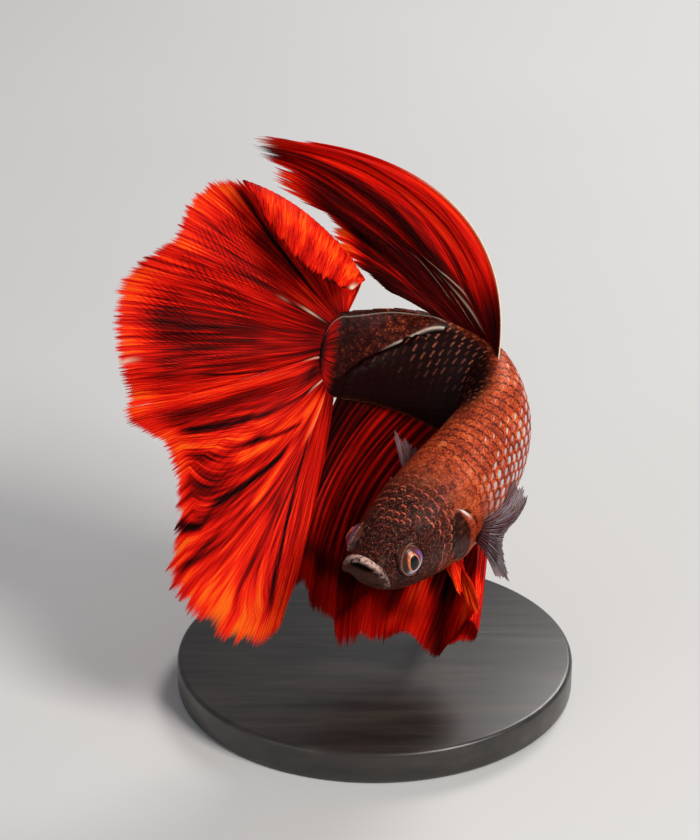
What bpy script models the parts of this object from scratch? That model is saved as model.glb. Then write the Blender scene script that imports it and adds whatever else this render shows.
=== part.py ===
"""A life-size male betta with long fins, curled hard to its right, on a plain display stand.

The fish is drawn in a pose frame, in millimetres: X to the right, Y away from the front and
Z up. TIP then tips that frame forwards and SHIFT sets it over the stand, in metres and +Z up,
with the origin at the centre of the base's underside.
"""

import math

import bmesh
import bpy
import numpy as np
from mathutils import Matrix, Vector

MM = 0.001
GAP = 0.3  # between neighbouring pieces

# The pose frame over the stand.
TIP = math.radians(-25)
SHIFT = (-3.0, -3.0, 36.5)

# The body, from the snout to the root of the tail fin.
# share of its length, then the spine's place
SPINE = (
    (0.00, 1.9, -13.4, -17.0),
    (0.14, 5.8, -8.1, -13.0),
    (0.27, 10.1, -3.2, -9.4),
    (0.41, 14.4, 1.4, -5.1),
    (0.55, 17.1, 6.0, -0.3),
    (0.66, 15.9, 10.2, 3.4),
    (0.755, 11.5, 11.8, 5.6),
    (0.87, 5.5, 11.4, 7.2),
    (1.00, -1.4, 9.0, 7.9),
)
# share, half width, height of the back, depth of the belly
SECTIONS = (
    (0.00, 2.2, 2.0, 1.9),
    (0.03, 3.0, 2.6, 3.6),
    (0.08, 4.2, 3.6, 5.6),
    (0.14, 4.9, 4.7, 7.1),
    (0.22, 5.4, 5.7, 8.2),
    (0.30, 5.6, 6.3, 8.6),
    (0.42, 5.2, 6.7, 8.5),
    (0.55, 4.3, 6.6, 8.1),
    (0.68, 3.3, 6.4, 7.6),
    (0.85, 2.3, 6.6, 6.2),
    (1.00, 1.2, 5.3, 5.4),
)
# share, then the way the back faces
UPWARDS = (
    (0.00, 0.06, -0.61, 0.76),
    (0.30, 0.02, -0.57, 0.81),
    (0.60, 0.05, -0.48, 0.87),
    (0.80, 0.15, -0.32, 0.92),
    (1.00, 0.27, -0.15, 0.95),
)
TAIL_ROUND = 2.4  # how far the root of the tail fin is rounded out
SNOUT_START = 0.018
HEAD_END = 0.278
FRONT_END = 0.46
MIDDLE_END = 0.63
REAR_END = 0.79
HALF_GAP_SHARE = 0.0038

# The lips: half an arc each, from the middle to the left corner, as back, left and up.
UPPER_LIP = ((-0.85, 0.0, 2.3), (-0.9, 1.3, 2.4), (-0.4, 2.5, 1.2), (-0.1, 2.7, 0.1))
LOWER_LIP = ((-0.75, 0.0, -0.2), (-0.7, 1.0, -0.25), (-0.4, 1.7, -0.7), (0.0, 2.0, -1.2))
UPPER_LIP_RADII = (0.6, 0.45)
LOWER_LIP_RADII = (0.85, 0.4)

# The eyes: how far back, how far round from the ridge of the back, and their size.
EYE_SHARE = 0.07
EYE_ROUND = 74.0
EYE_RADIUS = 1.95
EYE_PROUD = 0.8

# The gill covers.
COVER_SHARES = (0.15, 0.26)
COVER_ANGLES = (58.0, 136.0)
COVER_THICK = 0.8

# The fins: guide rays in order, as bends and a tip. Each starts at its root on the body.
FIN_THICK = 0.5
DORSAL_SHARES = (0.615, 0.77)
DORSAL_RAYS = (
    ((19.8, 3, 22), (10.5, 6, 31.8), (-9, 11, 34)),
    ((18, 4, 20.5), (7, 7, 30), (-11.5, 11, 33)),
    ((13.5, 5, 18.5), (3.5, 9, 25.5), (-11, 11, 31)),
    ((12, 7, 16.5), (4, 10, 23.5), (-8, 11, 27.5)),
    ((10.5, 8, 15), (5, 10, 21), (-3.5, 11, 24.5)),
    ((9.5, 8, 13.5), (5.5, 10, 18.5), (-1, 11, 20)),
    ((9, 9, 13), (6.5, 10, 14.5), (4.5, 10, 15.5)),
)
TAIL_RAYS = (
    ((0.9, 8, 15), (1.6, 7.4, 16.8)),
    ((-1, 7.6, 18.5), (-3.2, 7, 23)),
    ((-6, 6, 20), (-12.5, 3, 28)),
    ((-8.5, 5.5, 20.5), (-18, 2, 27)),
    ((-10.5, 5.5, 17.5), (-21.5, 1.5, 21.5)),
    ((-13.5, 5, 14), (-27, 1, 16.5)),
    ((-14, 5, 10), (-28, 1, 8.5)),
    ((-14.5, 5, 5.5), (-27, 2, 3.5)),
    ((-14.5, 4, 3), (-26, 3, -0.5)),
    ((-13, 3, 1), (-21.5, 2, -3.5)),
    ((-10.5, 2, -1), (-20.2, 0, -11.5)),
    ((-8, 1, -3.5), (-21.5, -2, -19)),
    ((-5.5, 1, -6), (-17.5, -3, -24.5)),
    ((-4.5, 1, -8), (-13, -3, -26.5)),
    ((-4, 1, -9), (-9, -2, -25.8)),
    ((-3.4, 3, -10), (-8.3, 0, -22)),
)
TAIL_SPLIT = 0.505
TAIL_SLIT = 0.009
CURL_FOLD = ((-12.5, 1.2, 28), (-4, 3.4, 25.5), (1.8, 5.4, 16.5))
CURL_EDGE = ((-10.8, 1.2, 25.2), (-6.5, 0.5, 15.6), (0.1, 2, 15.2))
ANAL_SHARES = (0.42, 0.985)
ANAL_RAYS = (
    ((15, 6, -17.5), (15, 3, -22.5)),
    ((16, 12, -20.5), (14, 4, -26)),
    ((13, 18, -22), (9.5, 5, -27.5)),
    ((6, 22, -17.5), (4.5, 6, -26.5)),
    ((0, 22, -12.5), (0, 6, -27.5)),
    ((-3, 20, -10), (-3, 5, -25)),
    ((-4.5, 17, -7.5), (-5.5, 4, -21.5)),
    ((-5.5, 13, -6), (-7, 4, -19.5)),
    ((-4.5, 9, -3.5), (-6.5, 4, -14.5)),
)
ANAL_SPLITS = (0.0, 0.34, 0.67, 1.0)
PECTORAL_SHARE = 0.293
LEFT_PECTORAL_ROOT = (102.0, 126.0)
LEFT_PECTORAL_RAYS = (
    ((17.8, -6.5, -10.5), (18.4, -5, -6.3)),
    ((19, -7, -11.5), (20.2, -6, -7.7)),
    ((18.8, -7.5, -12.2), (19.9, -7.5, -9.9)),
    ((17.6, -8, -13.2), (18.6, -8.5, -12.4)),
    ((17, -8, -14.2), (17.4, -9, -15.2)),
    ((16.5, -8, -15), (18.3, -9, -18.5)),
    ((15.8, -7.5, -15.5), (16.5, -8.5, -18)),
)
RIGHT_PECTORAL_ROOT = (-100.0, -122.0)
RIGHT_PECTORAL_RAYS = (
    ((6, 2.5, -6), (4.9, 3, -1)),
    ((6.8, 3.4, -6), (6, 4, -1.6)),
    ((7.5, 4.6, -6.5), (7.5, 6, -3)),
    ((8, 5.8, -8), (8.5, 8, -5.5)),
)
PELVIC_SHARES = (0.27, 0.335)
LEFT_PELVIC_RAYS = (
    ((14.4, -1.4, -17.5), (15.0, -2.4, -21.6)),
    ((14.0, -1.2, -18.5), (14.9, -2.2, -23.0)),
    ((13.2, -0.6, -18.8), (14.2, -1.6, -22.4)),
    ((12.4, 0.2, -18.4), (13.2, -0.8, -20.6)),
)
RIGHT_PELVIC_RAYS = (
    ((12.3, 2.6, -18), (12.6, 2.4, -20)),
    ((12.5, 3.4, -18), (13.2, 3.6, -21)),
    ((12.8, 4.2, -17.5), (13.8, 4.8, -19.5)),
)
PELVIC_ANGLE = 166.0

# The stand.
BASE_RADIUS = 24.0
BASE_THICK = 4.0
BASE_BEVEL = 0.8
BASE_SIDES = 48
ROD_RADIUS = 1.0
ROD_DROP = 1.9  # from the skin down to the centre of the rod's rounded top
ROD_SHARE = 0.735  # where the rod meets the body, and how far round from the ridge
ROD_ROUND = 128.0


def smooth(table, at):
    """The columns of a table read at a place in its first column, along a smooth curve."""
    rows = np.array(table, float)
    knots, values = rows[:, 0], rows[:, 1:]
    at = min(max(at, knots[0]), knots[-1])
    slopes = np.gradient(values, knots, axis=0)
    i = min(int(np.searchsorted(knots, at, side="right")) - 1, len(knots) - 2)
    span = knots[i + 1] - knots[i]
    t = (at - knots[i]) / span
    return (
        values[i] * (1 + 2 * t) * (1 - t) ** 2
        + slopes[i] * span * t * (1 - t) ** 2
        + values[i + 1] * t * t * (3 - 2 * t)
        + slopes[i + 1] * span * t * t * (t - 1)
    )


def body_frame(share):
    """The spine's point, and the body's directions backwards, to its left and up."""
    step = 0.004
    spine = Vector(smooth(SPINE, share))
    back = Vector(smooth(SPINE, share + step)) - Vector(smooth(SPINE, share - step))
    back.normalize()
    up = Vector(smooth(UPWARDS, share))
    up = (up - back * up.dot(back)).normalized()
    return spine, back, back.cross(up), up


def body_point(share, angle, grow=0.0):
    """A point of the skin. Angle 0 is the ridge of the back, 90 the left side, 180 the belly."""
    spine, _, left, up = body_frame(share)
    width, top, bottom = smooth(SECTIONS, share)
    turn = math.radians(angle)
    height = (top if math.cos(turn) > 0 else bottom) + grow
    return spine + left * (width + grow) * math.sin(turn) + up * height * math.cos(turn)


def bezier(points, at):
    """A point of the curve that these points pull, 0 to 1 along it."""
    points = [Vector(point) for point in points]
    while len(points) > 1:
        points = [a.lerp(b, at) for a, b in zip(points, points[1:])]
    return points[0]


def fin_point(roots, rays, across, along):
    """A point of a fin: across from its first guide ray to its last, along from root to tip."""
    places = np.linspace(0, 1, len(rays))
    rows = [(p, *bezier((roots(p), *ray), along)) for p, ray in zip(places, rays)]
    return Vector(smooth(rows, across))


def ridge_roots(shares, angle):
    """Roots along the body, at one angle round it."""
    return lambda place: body_point(shares[0] + (shares[1] - shares[0]) * place, angle, 0.55)


def flank_roots(share, angles):
    """Roots down one side, at one share of the body."""
    return lambda place: body_point(share, angles[0] + (angles[1] - angles[0]) * place, 0.55)


def tail_roots(place):
    """Roots round the end of the body, from its top to its bottom."""
    spine, back, _, up = body_frame(1.0)
    _, top, bottom = smooth(SECTIONS, 1.0)
    turn = math.pi * place
    height = (top if place < 0.5 else bottom) + GAP
    return (
        spine
        + back * (TAIL_ROUND * math.sin(turn) + GAP)
        + up * height * math.cos(turn)
    )


def clear_scene():
    for obj in list(bpy.data.objects):
        bpy.data.objects.remove(obj, do_unlink=True)


def paint(name, colour, roughness):
    made = bpy.data.materials.get(name)
    if made is None:
        made = bpy.data.materials.new(name)
        made.use_nodes = True
        shader = made.node_tree.nodes["Principled BSDF"]
        shader.inputs["Base Color"].default_value = (*colour, 1)
        shader.inputs["Roughness"].default_value = roughness
    return made


def skin_paint():
    return paint("skin", (0.22, 0.07, 0.045), 0.42)


def fin_paint():
    return paint("fins", (0.62, 0.03, 0.01), 0.38)


def eye_paint():
    return paint("eyes", (0.35, 0.12, 0.05), 0.12)


def stand_paint():
    return paint("stand", (0.03, 0.03, 0.032), 0.35)


def pose_frame():
    """The empty that tips the fish and lifts it over the stand."""
    frame = bpy.data.objects.new("pose_frame", None)
    bpy.context.scene.collection.objects.link(frame)
    frame.matrix_world = (
        Matrix.Translation(Vector(SHIFT) * MM)
        @ Matrix.Rotation(TIP, 4, "X")
        @ Matrix.Scale(MM, 4)
    )
    return frame


def add_object(name, bm, finish):
    """The mesh as an object of the fish, under the pose frame."""
    bmesh.ops.recalc_face_normals(bm, faces=bm.faces)
    mesh = bpy.data.meshes.new(name)
    bm.to_mesh(mesh)
    bm.free()
    mesh.materials.append(finish)
    mesh.shade_smooth()
    obj = bpy.data.objects.new(name, mesh)
    bpy.context.scene.collection.objects.link(obj)
    obj.parent = bpy.data.objects["pose_frame"]
    return obj


def loft(rings):
    """A closed solid through rings of points."""
    bm = bmesh.new()
    loops = [[bm.verts.new(point) for point in ring] for ring in rings]
    count = len(loops[0])
    for low, high in zip(loops, loops[1:]):
        for i in range(count):
            j = (i + 1) % count
            bm.faces.new((low[i], low[j], high[j], high[i]))
    bm.faces.new(loops[0][::-1])
    bm.faces.new(loops[-1])
    return bm


def body_ring(share, sides, shrink=1.0, shift=0.0):
    """Points round the body at one share, drawn in and moved back for a rounded end."""
    spine, back, _, _ = body_frame(share)
    points = [body_point(share, 360 * i / sides) for i in range(sides)]
    return [spine + (point - spine) * shrink + back * shift for point in points]


def body_length(name, start, end, rings, sides=24):
    """One length of the body, with half of the gap left at each end of it."""
    shares = np.linspace(start + HALF_GAP_SHARE, end - HALF_GAP_SHARE, rings)
    return add_object(name, loft([body_ring(share, sides) for share in shares]), skin_paint())


def peduncle():
    """The last length of the body, rounded where the tail fin grows from it."""
    shares = np.linspace(REAR_END + HALF_GAP_SHARE, 1.0, 7)
    rings = [body_ring(share, 24) for share in shares]
    for turn in np.radians((25, 45, 62, 76)):
        rings.append(body_ring(1.0, 24, math.cos(turn), TAIL_ROUND * math.sin(turn)))
    return add_object("peduncle", loft(rings), skin_paint())


def head_place(back, left, up):
    """A place given from the tip of the snout, along the head's own directions."""
    start, backwards, leftwards, upwards = body_frame(0.0)
    return start + backwards * back + leftwards * left + upwards * up


def bar(centres, radii, sides=8):
    """A closed round bar along these points, with rounded ends."""
    count = len(centres)
    rings = []
    side = None
    for i, centre in enumerate(centres):
        along = (centres[min(i + 1, count - 1)] - centres[max(i - 1, 0)]).normalized()
        side = along.orthogonal() if side is None else side - along * side.dot(along)
        side.normalize()
        other = along.cross(side)
        turns = [2 * math.pi * k / sides for k in range(sides)]
        ends = ((-0.7, 0.6),) if i == 0 else ((0.7, 0.6),) if i == count - 1 else ()
        layers = [(0.0, 1.0), *ends] if i else [*ends, (0.0, 1.0)]
        for ahead, scale in layers:
            rings.append([
                centre
                + along * ahead * radii[i]
                + (side * math.cos(t) + other * math.sin(t)) * radii[i] * scale
                for t in turns
            ])
    return loft(rings)


def lip(name, arc, radii, grow=0.0):
    """A fleshy lip, bent from corner to corner round the snout."""
    centres = []
    widths = []
    for across in np.linspace(-1, 1, 13):
        back, left, up = bezier(arc, abs(across))
        centres.append(head_place(back, math.copysign(left, across), up))
        widths.append(radii[0] + (radii[1] - radii[0]) * across**2 + grow)
    return add_object(name, bar(centres, widths), skin_paint())


def eye(name, side, grow=0.0):
    """An eyeball, standing a little proud of the head."""
    centre = body_point(EYE_SHARE, side * EYE_ROUND, EYE_PROUD - EYE_RADIUS)
    bm = bmesh.new()
    bmesh.ops.create_uvsphere(bm, u_segments=16, v_segments=10, radius=EYE_RADIUS + grow)
    bmesh.ops.translate(bm, verts=bm.verts, vec=centre)
    return add_object(name, bm, eye_paint())


def patch(name, shares, angles, outside, inside, finish):
    """A closed plate over part of the body, between two depths of the skin."""
    layers = []
    for depth in (outside, inside):
        rows = []
        for share in np.linspace(*shares, 6):
            middle = (angles[0] + angles[1]) / 2
            ease = ((share - shares[0]) / (shares[1] - shares[0]) * 2 - 1) ** 2
            half = (angles[1] - angles[0]) / 2 * (1 - 0.28 * ease)
            rows.append([
                body_point(share, turn, depth)
                for turn in np.linspace(middle - half, middle + half, 8)
            ])
        layers.append(rows)
    return add_object(name, slab(*layers), finish)


def slab(front, back):
    """A closed solid between two grids of points."""
    bm = bmesh.new()
    layers = [[[bm.verts.new(point) for point in row] for row in grid] for grid in (front, back)]
    rows, columns = len(front), len(front[0])
    for layer in layers:
        for i in range(rows - 1):
            for j in range(columns - 1):
                bm.faces.new((layer[i][j], layer[i][j + 1], layer[i + 1][j + 1], layer[i + 1][j]))
    rim = [(0, j) for j in range(columns)]
    rim += [(i, columns - 1) for i in range(1, rows)]
    rim += [(rows - 1, j) for j in range(columns - 2, -1, -1)]
    rim += [(i, 0) for i in range(rows - 2, 0, -1)]
    for (i, j), (k, m) in zip(rim, rim[1:] + rim[:1]):
        bm.faces.new((layers[0][i][j], layers[0][k][m], layers[1][k][m], layers[1][i][j]))
    return bm


def cut(obj, cutter):
    """Takes a helper's shape out of a piece."""
    cutter.hide_render = True
    cutter.display_type = "WIRE"
    modifier = obj.modifiers.new("cut", "BOOLEAN")
    modifier.operation = "DIFFERENCE"
    modifier.object = cutter


def head():
    """The head with its eyes, lips and gill covers, each bedded in it."""
    shell = body_length("head", SNOUT_START, HEAD_END, 12, 24)
    for side, word in ((1, "left"), (-1, "right")):
        eye(f"eye_{word}", side)
        cut(shell, eye(f"socket_{word}", side, GAP))
        shares = COVER_SHARES
        angles = [side * angle for angle in COVER_ANGLES]
        patch(f"gill_cover_{word}", shares, angles, 0.1, 0.1 - COVER_THICK, skin_paint())
        wide = (shares[0] - 0.006, shares[1] + 0.006)
        spread = [side * (COVER_ANGLES[0] - 4), side * (COVER_ANGLES[1] + 4)]
        bed = patch(f"bed_{word}", wide, spread, 1.0, 0.1 - COVER_THICK - GAP, skin_paint())
        cut(shell, bed)
    for name, arc, radii in (
        ("lip_upper", UPPER_LIP, UPPER_LIP_RADII),
        ("jaw_lower", LOWER_LIP, LOWER_LIP_RADII),
    ):
        lip(name, arc, radii)
        cut(shell, lip(f"{name}_bed", arc, radii, GAP))


def fin(name, roots, rays, shape, span=(0.0, 1.0), folds=0, depth=0.0, notch=0.0):
    """A fin as a pleated sheet. shape is its count of points across and along."""
    rows = []
    for across in np.linspace(*span, shape[0]):
        wave = math.sin(2 * math.pi * folds * across)
        reach = 1 - notch * (0.5 + 0.5 * math.cos(2 * math.pi * folds * 1.7 * across))
        row = []
        for along in np.linspace(0, 1, shape[1]):
            here = fin_point(roots, rays, across, along * reach)
            beside = fin_point(roots, rays, min(across + 0.01, 1), along * reach)
            before = fin_point(roots, rays, max(across - 0.01, 0), along * reach)
            ahead = fin_point(roots, rays, across, min(along * reach + 0.02, 1))
            behind = fin_point(roots, rays, across, max(along * reach - 0.02, 0))
            normal = (beside - before).cross(ahead - behind).normalized()
            row.append((here + normal * wave * depth * along**1.3, normal))
        rows.append(row)
    half = FIN_THICK / 2
    front = [[point + normal * half for point, normal in row] for row in rows]
    back = [[point - normal * half for point, normal in row] for row in rows]
    return add_object(name, slab(front, back), fin_paint())


def fins():
    """Every fin, from the nose to the tail."""
    fin("pectoral_left", flank_roots(PECTORAL_SHARE, LEFT_PECTORAL_ROOT),
        LEFT_PECTORAL_RAYS, (13, 7), folds=3, depth=0.15)
    fin("pectoral_right", flank_roots(PECTORAL_SHARE, RIGHT_PECTORAL_ROOT),
        RIGHT_PECTORAL_RAYS, (9, 7), folds=2, depth=0.15)
    fin("pelvic_left", ridge_roots(PELVIC_SHARES, PELVIC_ANGLE),
        LEFT_PELVIC_RAYS, (7, 8), folds=1, depth=0.2)
    fin("pelvic_right", ridge_roots(PELVIC_SHARES, -PELVIC_ANGLE),
        RIGHT_PELVIC_RAYS, (7, 8), folds=1, depth=0.2)
    fin("dorsal_fin", ridge_roots(DORSAL_SHARES, 0),
        DORSAL_RAYS, (20, 8), folds=4, depth=0.7, notch=0.05)
    split = TAIL_SPLIT
    fin("tail_fin_upper", tail_roots, TAIL_RAYS, (22, 7), (0, split - TAIL_SLIT), 6, 0.8, 0.04)
    fin("tail_fin_lower", tail_roots, TAIL_RAYS, (23, 8), (split + TAIL_SLIT, 1), 6, 0.8, 0.06)
    names = ("front", "middle", "rear")
    for name, start, end in zip(names, ANAL_SPLITS, ANAL_SPLITS[1:]):
        span = (start + 0.005, end - 0.005)
        roots = ridge_roots(ANAL_SHARES, 180)
        fin(f"anal_fin_{name}", roots, ANAL_RAYS, (12, 8), span, 7, 0.7, 0.05)


def tail_curl():
    """The top of the tail fin, folded over towards the front."""
    rows = []
    for across in np.linspace(0, 1, 14):
        fold = bezier(CURL_FOLD, across)
        edge = bezier(CURL_EDGE, across)
        out = Vector((0.1, -1.0, 0.2)) * 2.2 * math.sin(math.pi * min(across + 0.12, 1))
        row = []
        for along in np.linspace(0, 1, 6):
            ripple = 0.25 * math.sin(across * 40) * along
            row.append(bezier((fold, (fold + edge) / 2 + out, edge), along) + Vector((0, ripple, 0)))
        rows.append(row)
    shift = Vector((0, FIN_THICK, 0))
    back = [[point + shift for point in row] for row in rows]
    return add_object("tail_fin_curl", slab(rows, back), fin_paint())


def stand():
    """The round base and the upright rod from it to the body."""
    bm = bmesh.new()
    radius, high = BASE_RADIUS * MM, BASE_THICK * MM
    bmesh.ops.create_cone(
        bm, cap_ends=True, segments=BASE_SIDES, radius1=radius, radius2=radius, depth=high
    )
    bmesh.ops.translate(bm, verts=bm.verts, vec=(0, 0, high / 2))
    top = [edge for edge in bm.edges if all(vert.co.z > high * 0.9 for vert in edge.verts)]
    bmesh.ops.bevel(bm, geom=top, offset=BASE_BEVEL * MM, segments=2, affect="EDGES", profile=0.5)
    base = add_object("stand_base", bm, stand_paint())
    base.parent = None

    frame = bpy.data.objects["pose_frame"].matrix_world
    top = frame @ body_point(ROD_SHARE, ROD_ROUND, GAP)
    radius = ROD_RADIUS * MM
    foot = Vector((top.x, top.y, high + radius + GAP * MM))
    top.z -= ROD_DROP * MM
    places = [foot.lerp(top, share) for share in (0.0, 0.5, 1.0)]
    rod = add_object("stand_rod", bar(places, [radius] * 3, 16), stand_paint())
    rod.parent = None


def main():
    clear_scene()
    pose_frame()
    head()
    body_length("trunk_front", HEAD_END, FRONT_END, 9)
    body_length("trunk_middle", FRONT_END, MIDDLE_END, 9)
    body_length("trunk_rear", MIDDLE_END, REAR_END, 9)
    peduncle()
    fins()
    tail_curl()
    stand()


main()
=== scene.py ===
"""A life-size male betta with long red fins, curled hard to its right, on a small round stand."""

import math

import bmesh
import bpy
import numpy as np
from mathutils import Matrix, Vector


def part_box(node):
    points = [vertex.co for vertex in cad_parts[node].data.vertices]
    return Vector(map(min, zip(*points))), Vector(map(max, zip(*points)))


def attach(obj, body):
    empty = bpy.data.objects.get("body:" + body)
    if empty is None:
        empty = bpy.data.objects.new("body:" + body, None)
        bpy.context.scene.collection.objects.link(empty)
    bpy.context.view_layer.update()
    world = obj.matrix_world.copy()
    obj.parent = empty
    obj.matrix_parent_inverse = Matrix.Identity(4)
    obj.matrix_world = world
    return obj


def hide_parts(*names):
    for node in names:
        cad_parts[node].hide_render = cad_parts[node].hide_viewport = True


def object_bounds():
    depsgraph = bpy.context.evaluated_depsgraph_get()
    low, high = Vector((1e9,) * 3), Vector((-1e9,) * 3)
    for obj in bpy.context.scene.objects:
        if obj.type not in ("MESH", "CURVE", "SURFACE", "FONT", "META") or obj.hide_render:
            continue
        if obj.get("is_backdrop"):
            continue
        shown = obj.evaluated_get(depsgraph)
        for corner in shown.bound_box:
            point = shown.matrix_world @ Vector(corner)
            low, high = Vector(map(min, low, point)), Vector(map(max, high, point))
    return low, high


bl_info = {
    "name": "Betta on a stand",
    "version": (1, 0, 0),
    "blender": (4, 5, 0),
    "location": "3D View > Sidebar > Betta",
    "description": "Builds a long-finned betta: skin, scales, eyes, fins and a turned stand",
    "category": "Add Mesh",
}

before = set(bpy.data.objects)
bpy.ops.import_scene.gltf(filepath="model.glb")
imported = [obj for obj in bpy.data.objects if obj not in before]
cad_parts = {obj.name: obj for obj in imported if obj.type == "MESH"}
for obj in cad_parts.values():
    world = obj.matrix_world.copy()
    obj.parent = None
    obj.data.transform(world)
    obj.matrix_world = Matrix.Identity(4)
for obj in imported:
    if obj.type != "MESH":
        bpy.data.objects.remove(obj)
CAD_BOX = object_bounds()
BODY = "root"

# The fish is drawn in millimetres in its own frame, X right, Y away from the front and Z up.
# TIP tips that frame forwards, and SHIFT lifts it over the stand.
MM = 0.001
TIP = math.radians(-25)
SHIFT = np.array((-3.0, -3.0, 36.5))
TIPPED = np.array(
    ((1, 0, 0), (0, math.cos(TIP), -math.sin(TIP)), (0, math.sin(TIP), math.cos(TIP)))
)

# share of the body's length, then the spine's place
SPINE = (
    (0.00, 1.9, -13.4, -17.0),
    (0.14, 5.8, -8.1, -13.0),
    (0.27, 10.1, -3.2, -9.4),
    (0.41, 14.4, 1.4, -5.1),
    (0.55, 17.1, 6.0, -0.3),
    (0.66, 15.9, 10.2, 3.4),
    (0.755, 11.5, 11.8, 5.6),
    (0.87, 5.5, 11.4, 7.2),
    (1.00, -1.4, 9.0, 7.9),
)
# share, half width, height of the back, depth of the belly
SECTIONS = (
    (0.00, 2.2, 2.0, 1.9),
    (0.03, 3.0, 2.6, 3.6),
    (0.08, 4.2, 3.6, 5.6),
    (0.14, 4.9, 4.7, 7.1),
    (0.22, 5.4, 5.7, 8.2),
    (0.30, 5.6, 6.3, 8.6),
    (0.42, 5.2, 6.7, 8.5),
    (0.55, 4.3, 6.6, 8.1),
    (0.68, 3.3, 6.4, 7.6),
    (0.85, 2.3, 6.6, 6.2),
    (1.00, 1.2, 5.3, 5.4),
)
# share, then the way the back faces
UPWARDS = (
    (0.00, 0.06, -0.61, 0.76),
    (0.30, 0.02, -0.57, 0.81),
    (0.60, 0.05, -0.48, 0.87),
    (0.80, 0.15, -0.32, 0.92),
    (1.00, 0.27, -0.15, 0.95),
)
HEAD_END = 0.125  # up to this share the skin is drawn out to the lips, lids and nostrils
SNOUT_ROUND = 0.7
TAIL_ROUND = 2.4
SCALE_STEP = 0.0215  # from one row of scales to the next, as a share
SCALES_ROUND = 32
SCALE_ARC = 360.0 / SCALES_ROUND
SCALE_LENGTH = 1.75 * SCALE_STEP
SCALE_PATCH = 0.003  # a scale's size in the unwrap
EYE_CLEARANCE = 2.85  # from an eye's centre to the nearest scale
BARE = ((0.13, 56), (0.2, 128), (0.24, 150))  # ahead of each share, the scales end at this angle

# Half of each lip, from the middle to the left corner, as back, left and up from the snout.
UPPER_LIP = ((-0.85, 0.0, 2.3), (-0.9, 1.3, 2.4), (-0.4, 2.5, 1.2), (-0.1, 2.7, -0.6))
LOWER_LIP = ((-0.8, 0.0, 0.25), (-0.85, 1.2, 0.95), (-0.4, 2.0, 0.5), (-0.1, 2.5, -0.75))
MOUTH_LINE = ((-1.0, 0.0, 1.5), (-1.0, 1.2, 1.78), (-0.5, 2.2, 0.9), (-0.15, 2.6, -0.45))
UPPER_LIP_RADII = (0.52, 0.34)
LOWER_LIP_RADII = (0.9, 0.36)
MOUTH_RADII = (0.27, 0.04)
MOUTH_OPENING = (-0.15, 0.6)  # its middle and half its width, over half the mouth's
NOSTRIL = (0.035, 44.0)  # share and angle

EYE_SHARE = 0.07
EYE_ROUND = 74.0
EYE_RADIUS = 1.95
EYE_PROUD = 0.8  # how far the ball stands over the body
IRIS_SHIFT = (4.0, 2.0)  # degrees that the iris lies ahead of the pupil and over it
IRIS_OVAL = (0.66, 1.3)  # its width and height over those of a round one
LID = (0.88, 1.84, 0.1)  # how far out the ring of the lids sits, its radius and its thickness
EYE_GAZES = {1: (-0.41, 0.87, 0.25), -1: (-0.12, -0.97, 0.16)}  # backwards, left, up

# The fold of skin inside the bend: share, then how far round from the ridge
FOLD_LINE = (
    (0.74, 20.0),
    (0.768, 26.0),
    (0.813, 39.5),
    (0.864, 60.8),
    (0.912, 76.5),
    (0.954, 92.0),
    (1.00, 125.0),
)

# Each fin's guide rays, as bends and a tip. A ray starts at its root on the body.
ROOT_DEPTH = 0.6
DORSAL_ROOTS = ((0.615, 0.0), (0.77, 0.0))  # shares and angles at the front and the rear
DORSAL_RAYS = (
    ((19.8, 3, 22), (10.5, 6, 31.8), (-9, 11, 34)),
    ((18, 4, 20.5), (7, 7, 30), (-11.5, 11, 33)),
    ((13.5, 5, 18.5), (3.5, 9, 25.5), (-11, 11, 31)),
    ((12, 7, 16.5), (4, 10, 23.5), (-8, 11, 27.5)),
    ((10.5, 8, 15), (5, 10, 21), (-3.5, 11, 24.5)),
    ((9.5, 8, 13.5), (5.5, 10, 18.5), (-1, 11, 20)),
    ((9, 9, 13), (6.5, 10, 14.5), (4.5, 10, 15.5)),
)
TAIL_RAYS = (
    ((0.9, 8, 15), (1.6, 7.4, 16.8)),
    ((-1, 7.6, 18.5), (-3.2, 7, 23)),
    ((-6, 6, 20), (-12.5, 3, 28)),
    ((-8.5, 5.5, 20.5), (-18, 2, 27)),
    ((-10.5, 5.5, 17.5), (-21.5, 1.5, 21.5)),
    ((-13.5, 5, 14), (-27, 1, 16.5)),
    ((-14, 5, 10), (-28, 1, 8.5)),
    ((-14.5, 5, 5.5), (-27, 2, 3.5)),
    ((-14.5, 4, 3), (-26, 3, -0.5)),
    ((-13, 3, 1), (-21.5, 2, -3.5)),
    ((-10.5, 2, -1), (-20.2, 0, -11.5)),
    ((-8, 1, -3.5), (-21.5, -2, -19)),
    ((-5.5, 1, -6), (-17.5, -3, -24.5)),
    ((-4.5, 1, -8), (-13, -3, -26.5)),
    ((-4, 1, -9), (-9, -2, -25.8)),
    ((-3.4, 3, -10), (-8.3, 0, -22)),
)
TAIL_SPLIT = 0.505
CURL_FOLD = ((-12.5, 1.2, 28), (-4, 3.4, 25.5), (1.8, 5.4, 16.5))
CURL_EDGE = ((-10.8, 1.2, 25.2), (-6.5, 0.5, 15.6), (0.1, 2, 15.2))
ANAL_ROOTS = ((0.42, 180.0), (0.985, 180.0))
ANAL_RAYS = (
    ((15, 6, -17.5), (15, 3, -22.5)),
    ((16, 12, -20.5), (14, 4, -26)),
    ((13, 18, -22), (9.5, 5, -27.5)),
    ((6, 22, -17.5), (4.5, 6, -26.5)),
    ((0, 22, -12.5), (0, 6, -27.5)),
    ((-3, 20, -10), (-3, 5, -25)),
    ((-4.5, 17, -7.5), (-5.5, 4, -21.5)),
    ((-5.5, 13, -6), (-7, 4, -19.5)),
    ((-4.5, 9, -3.5), (-6.5, 4, -14.5)),
)
ANAL_SPLITS = (0.0, 0.34, 0.67, 1.0)
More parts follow.
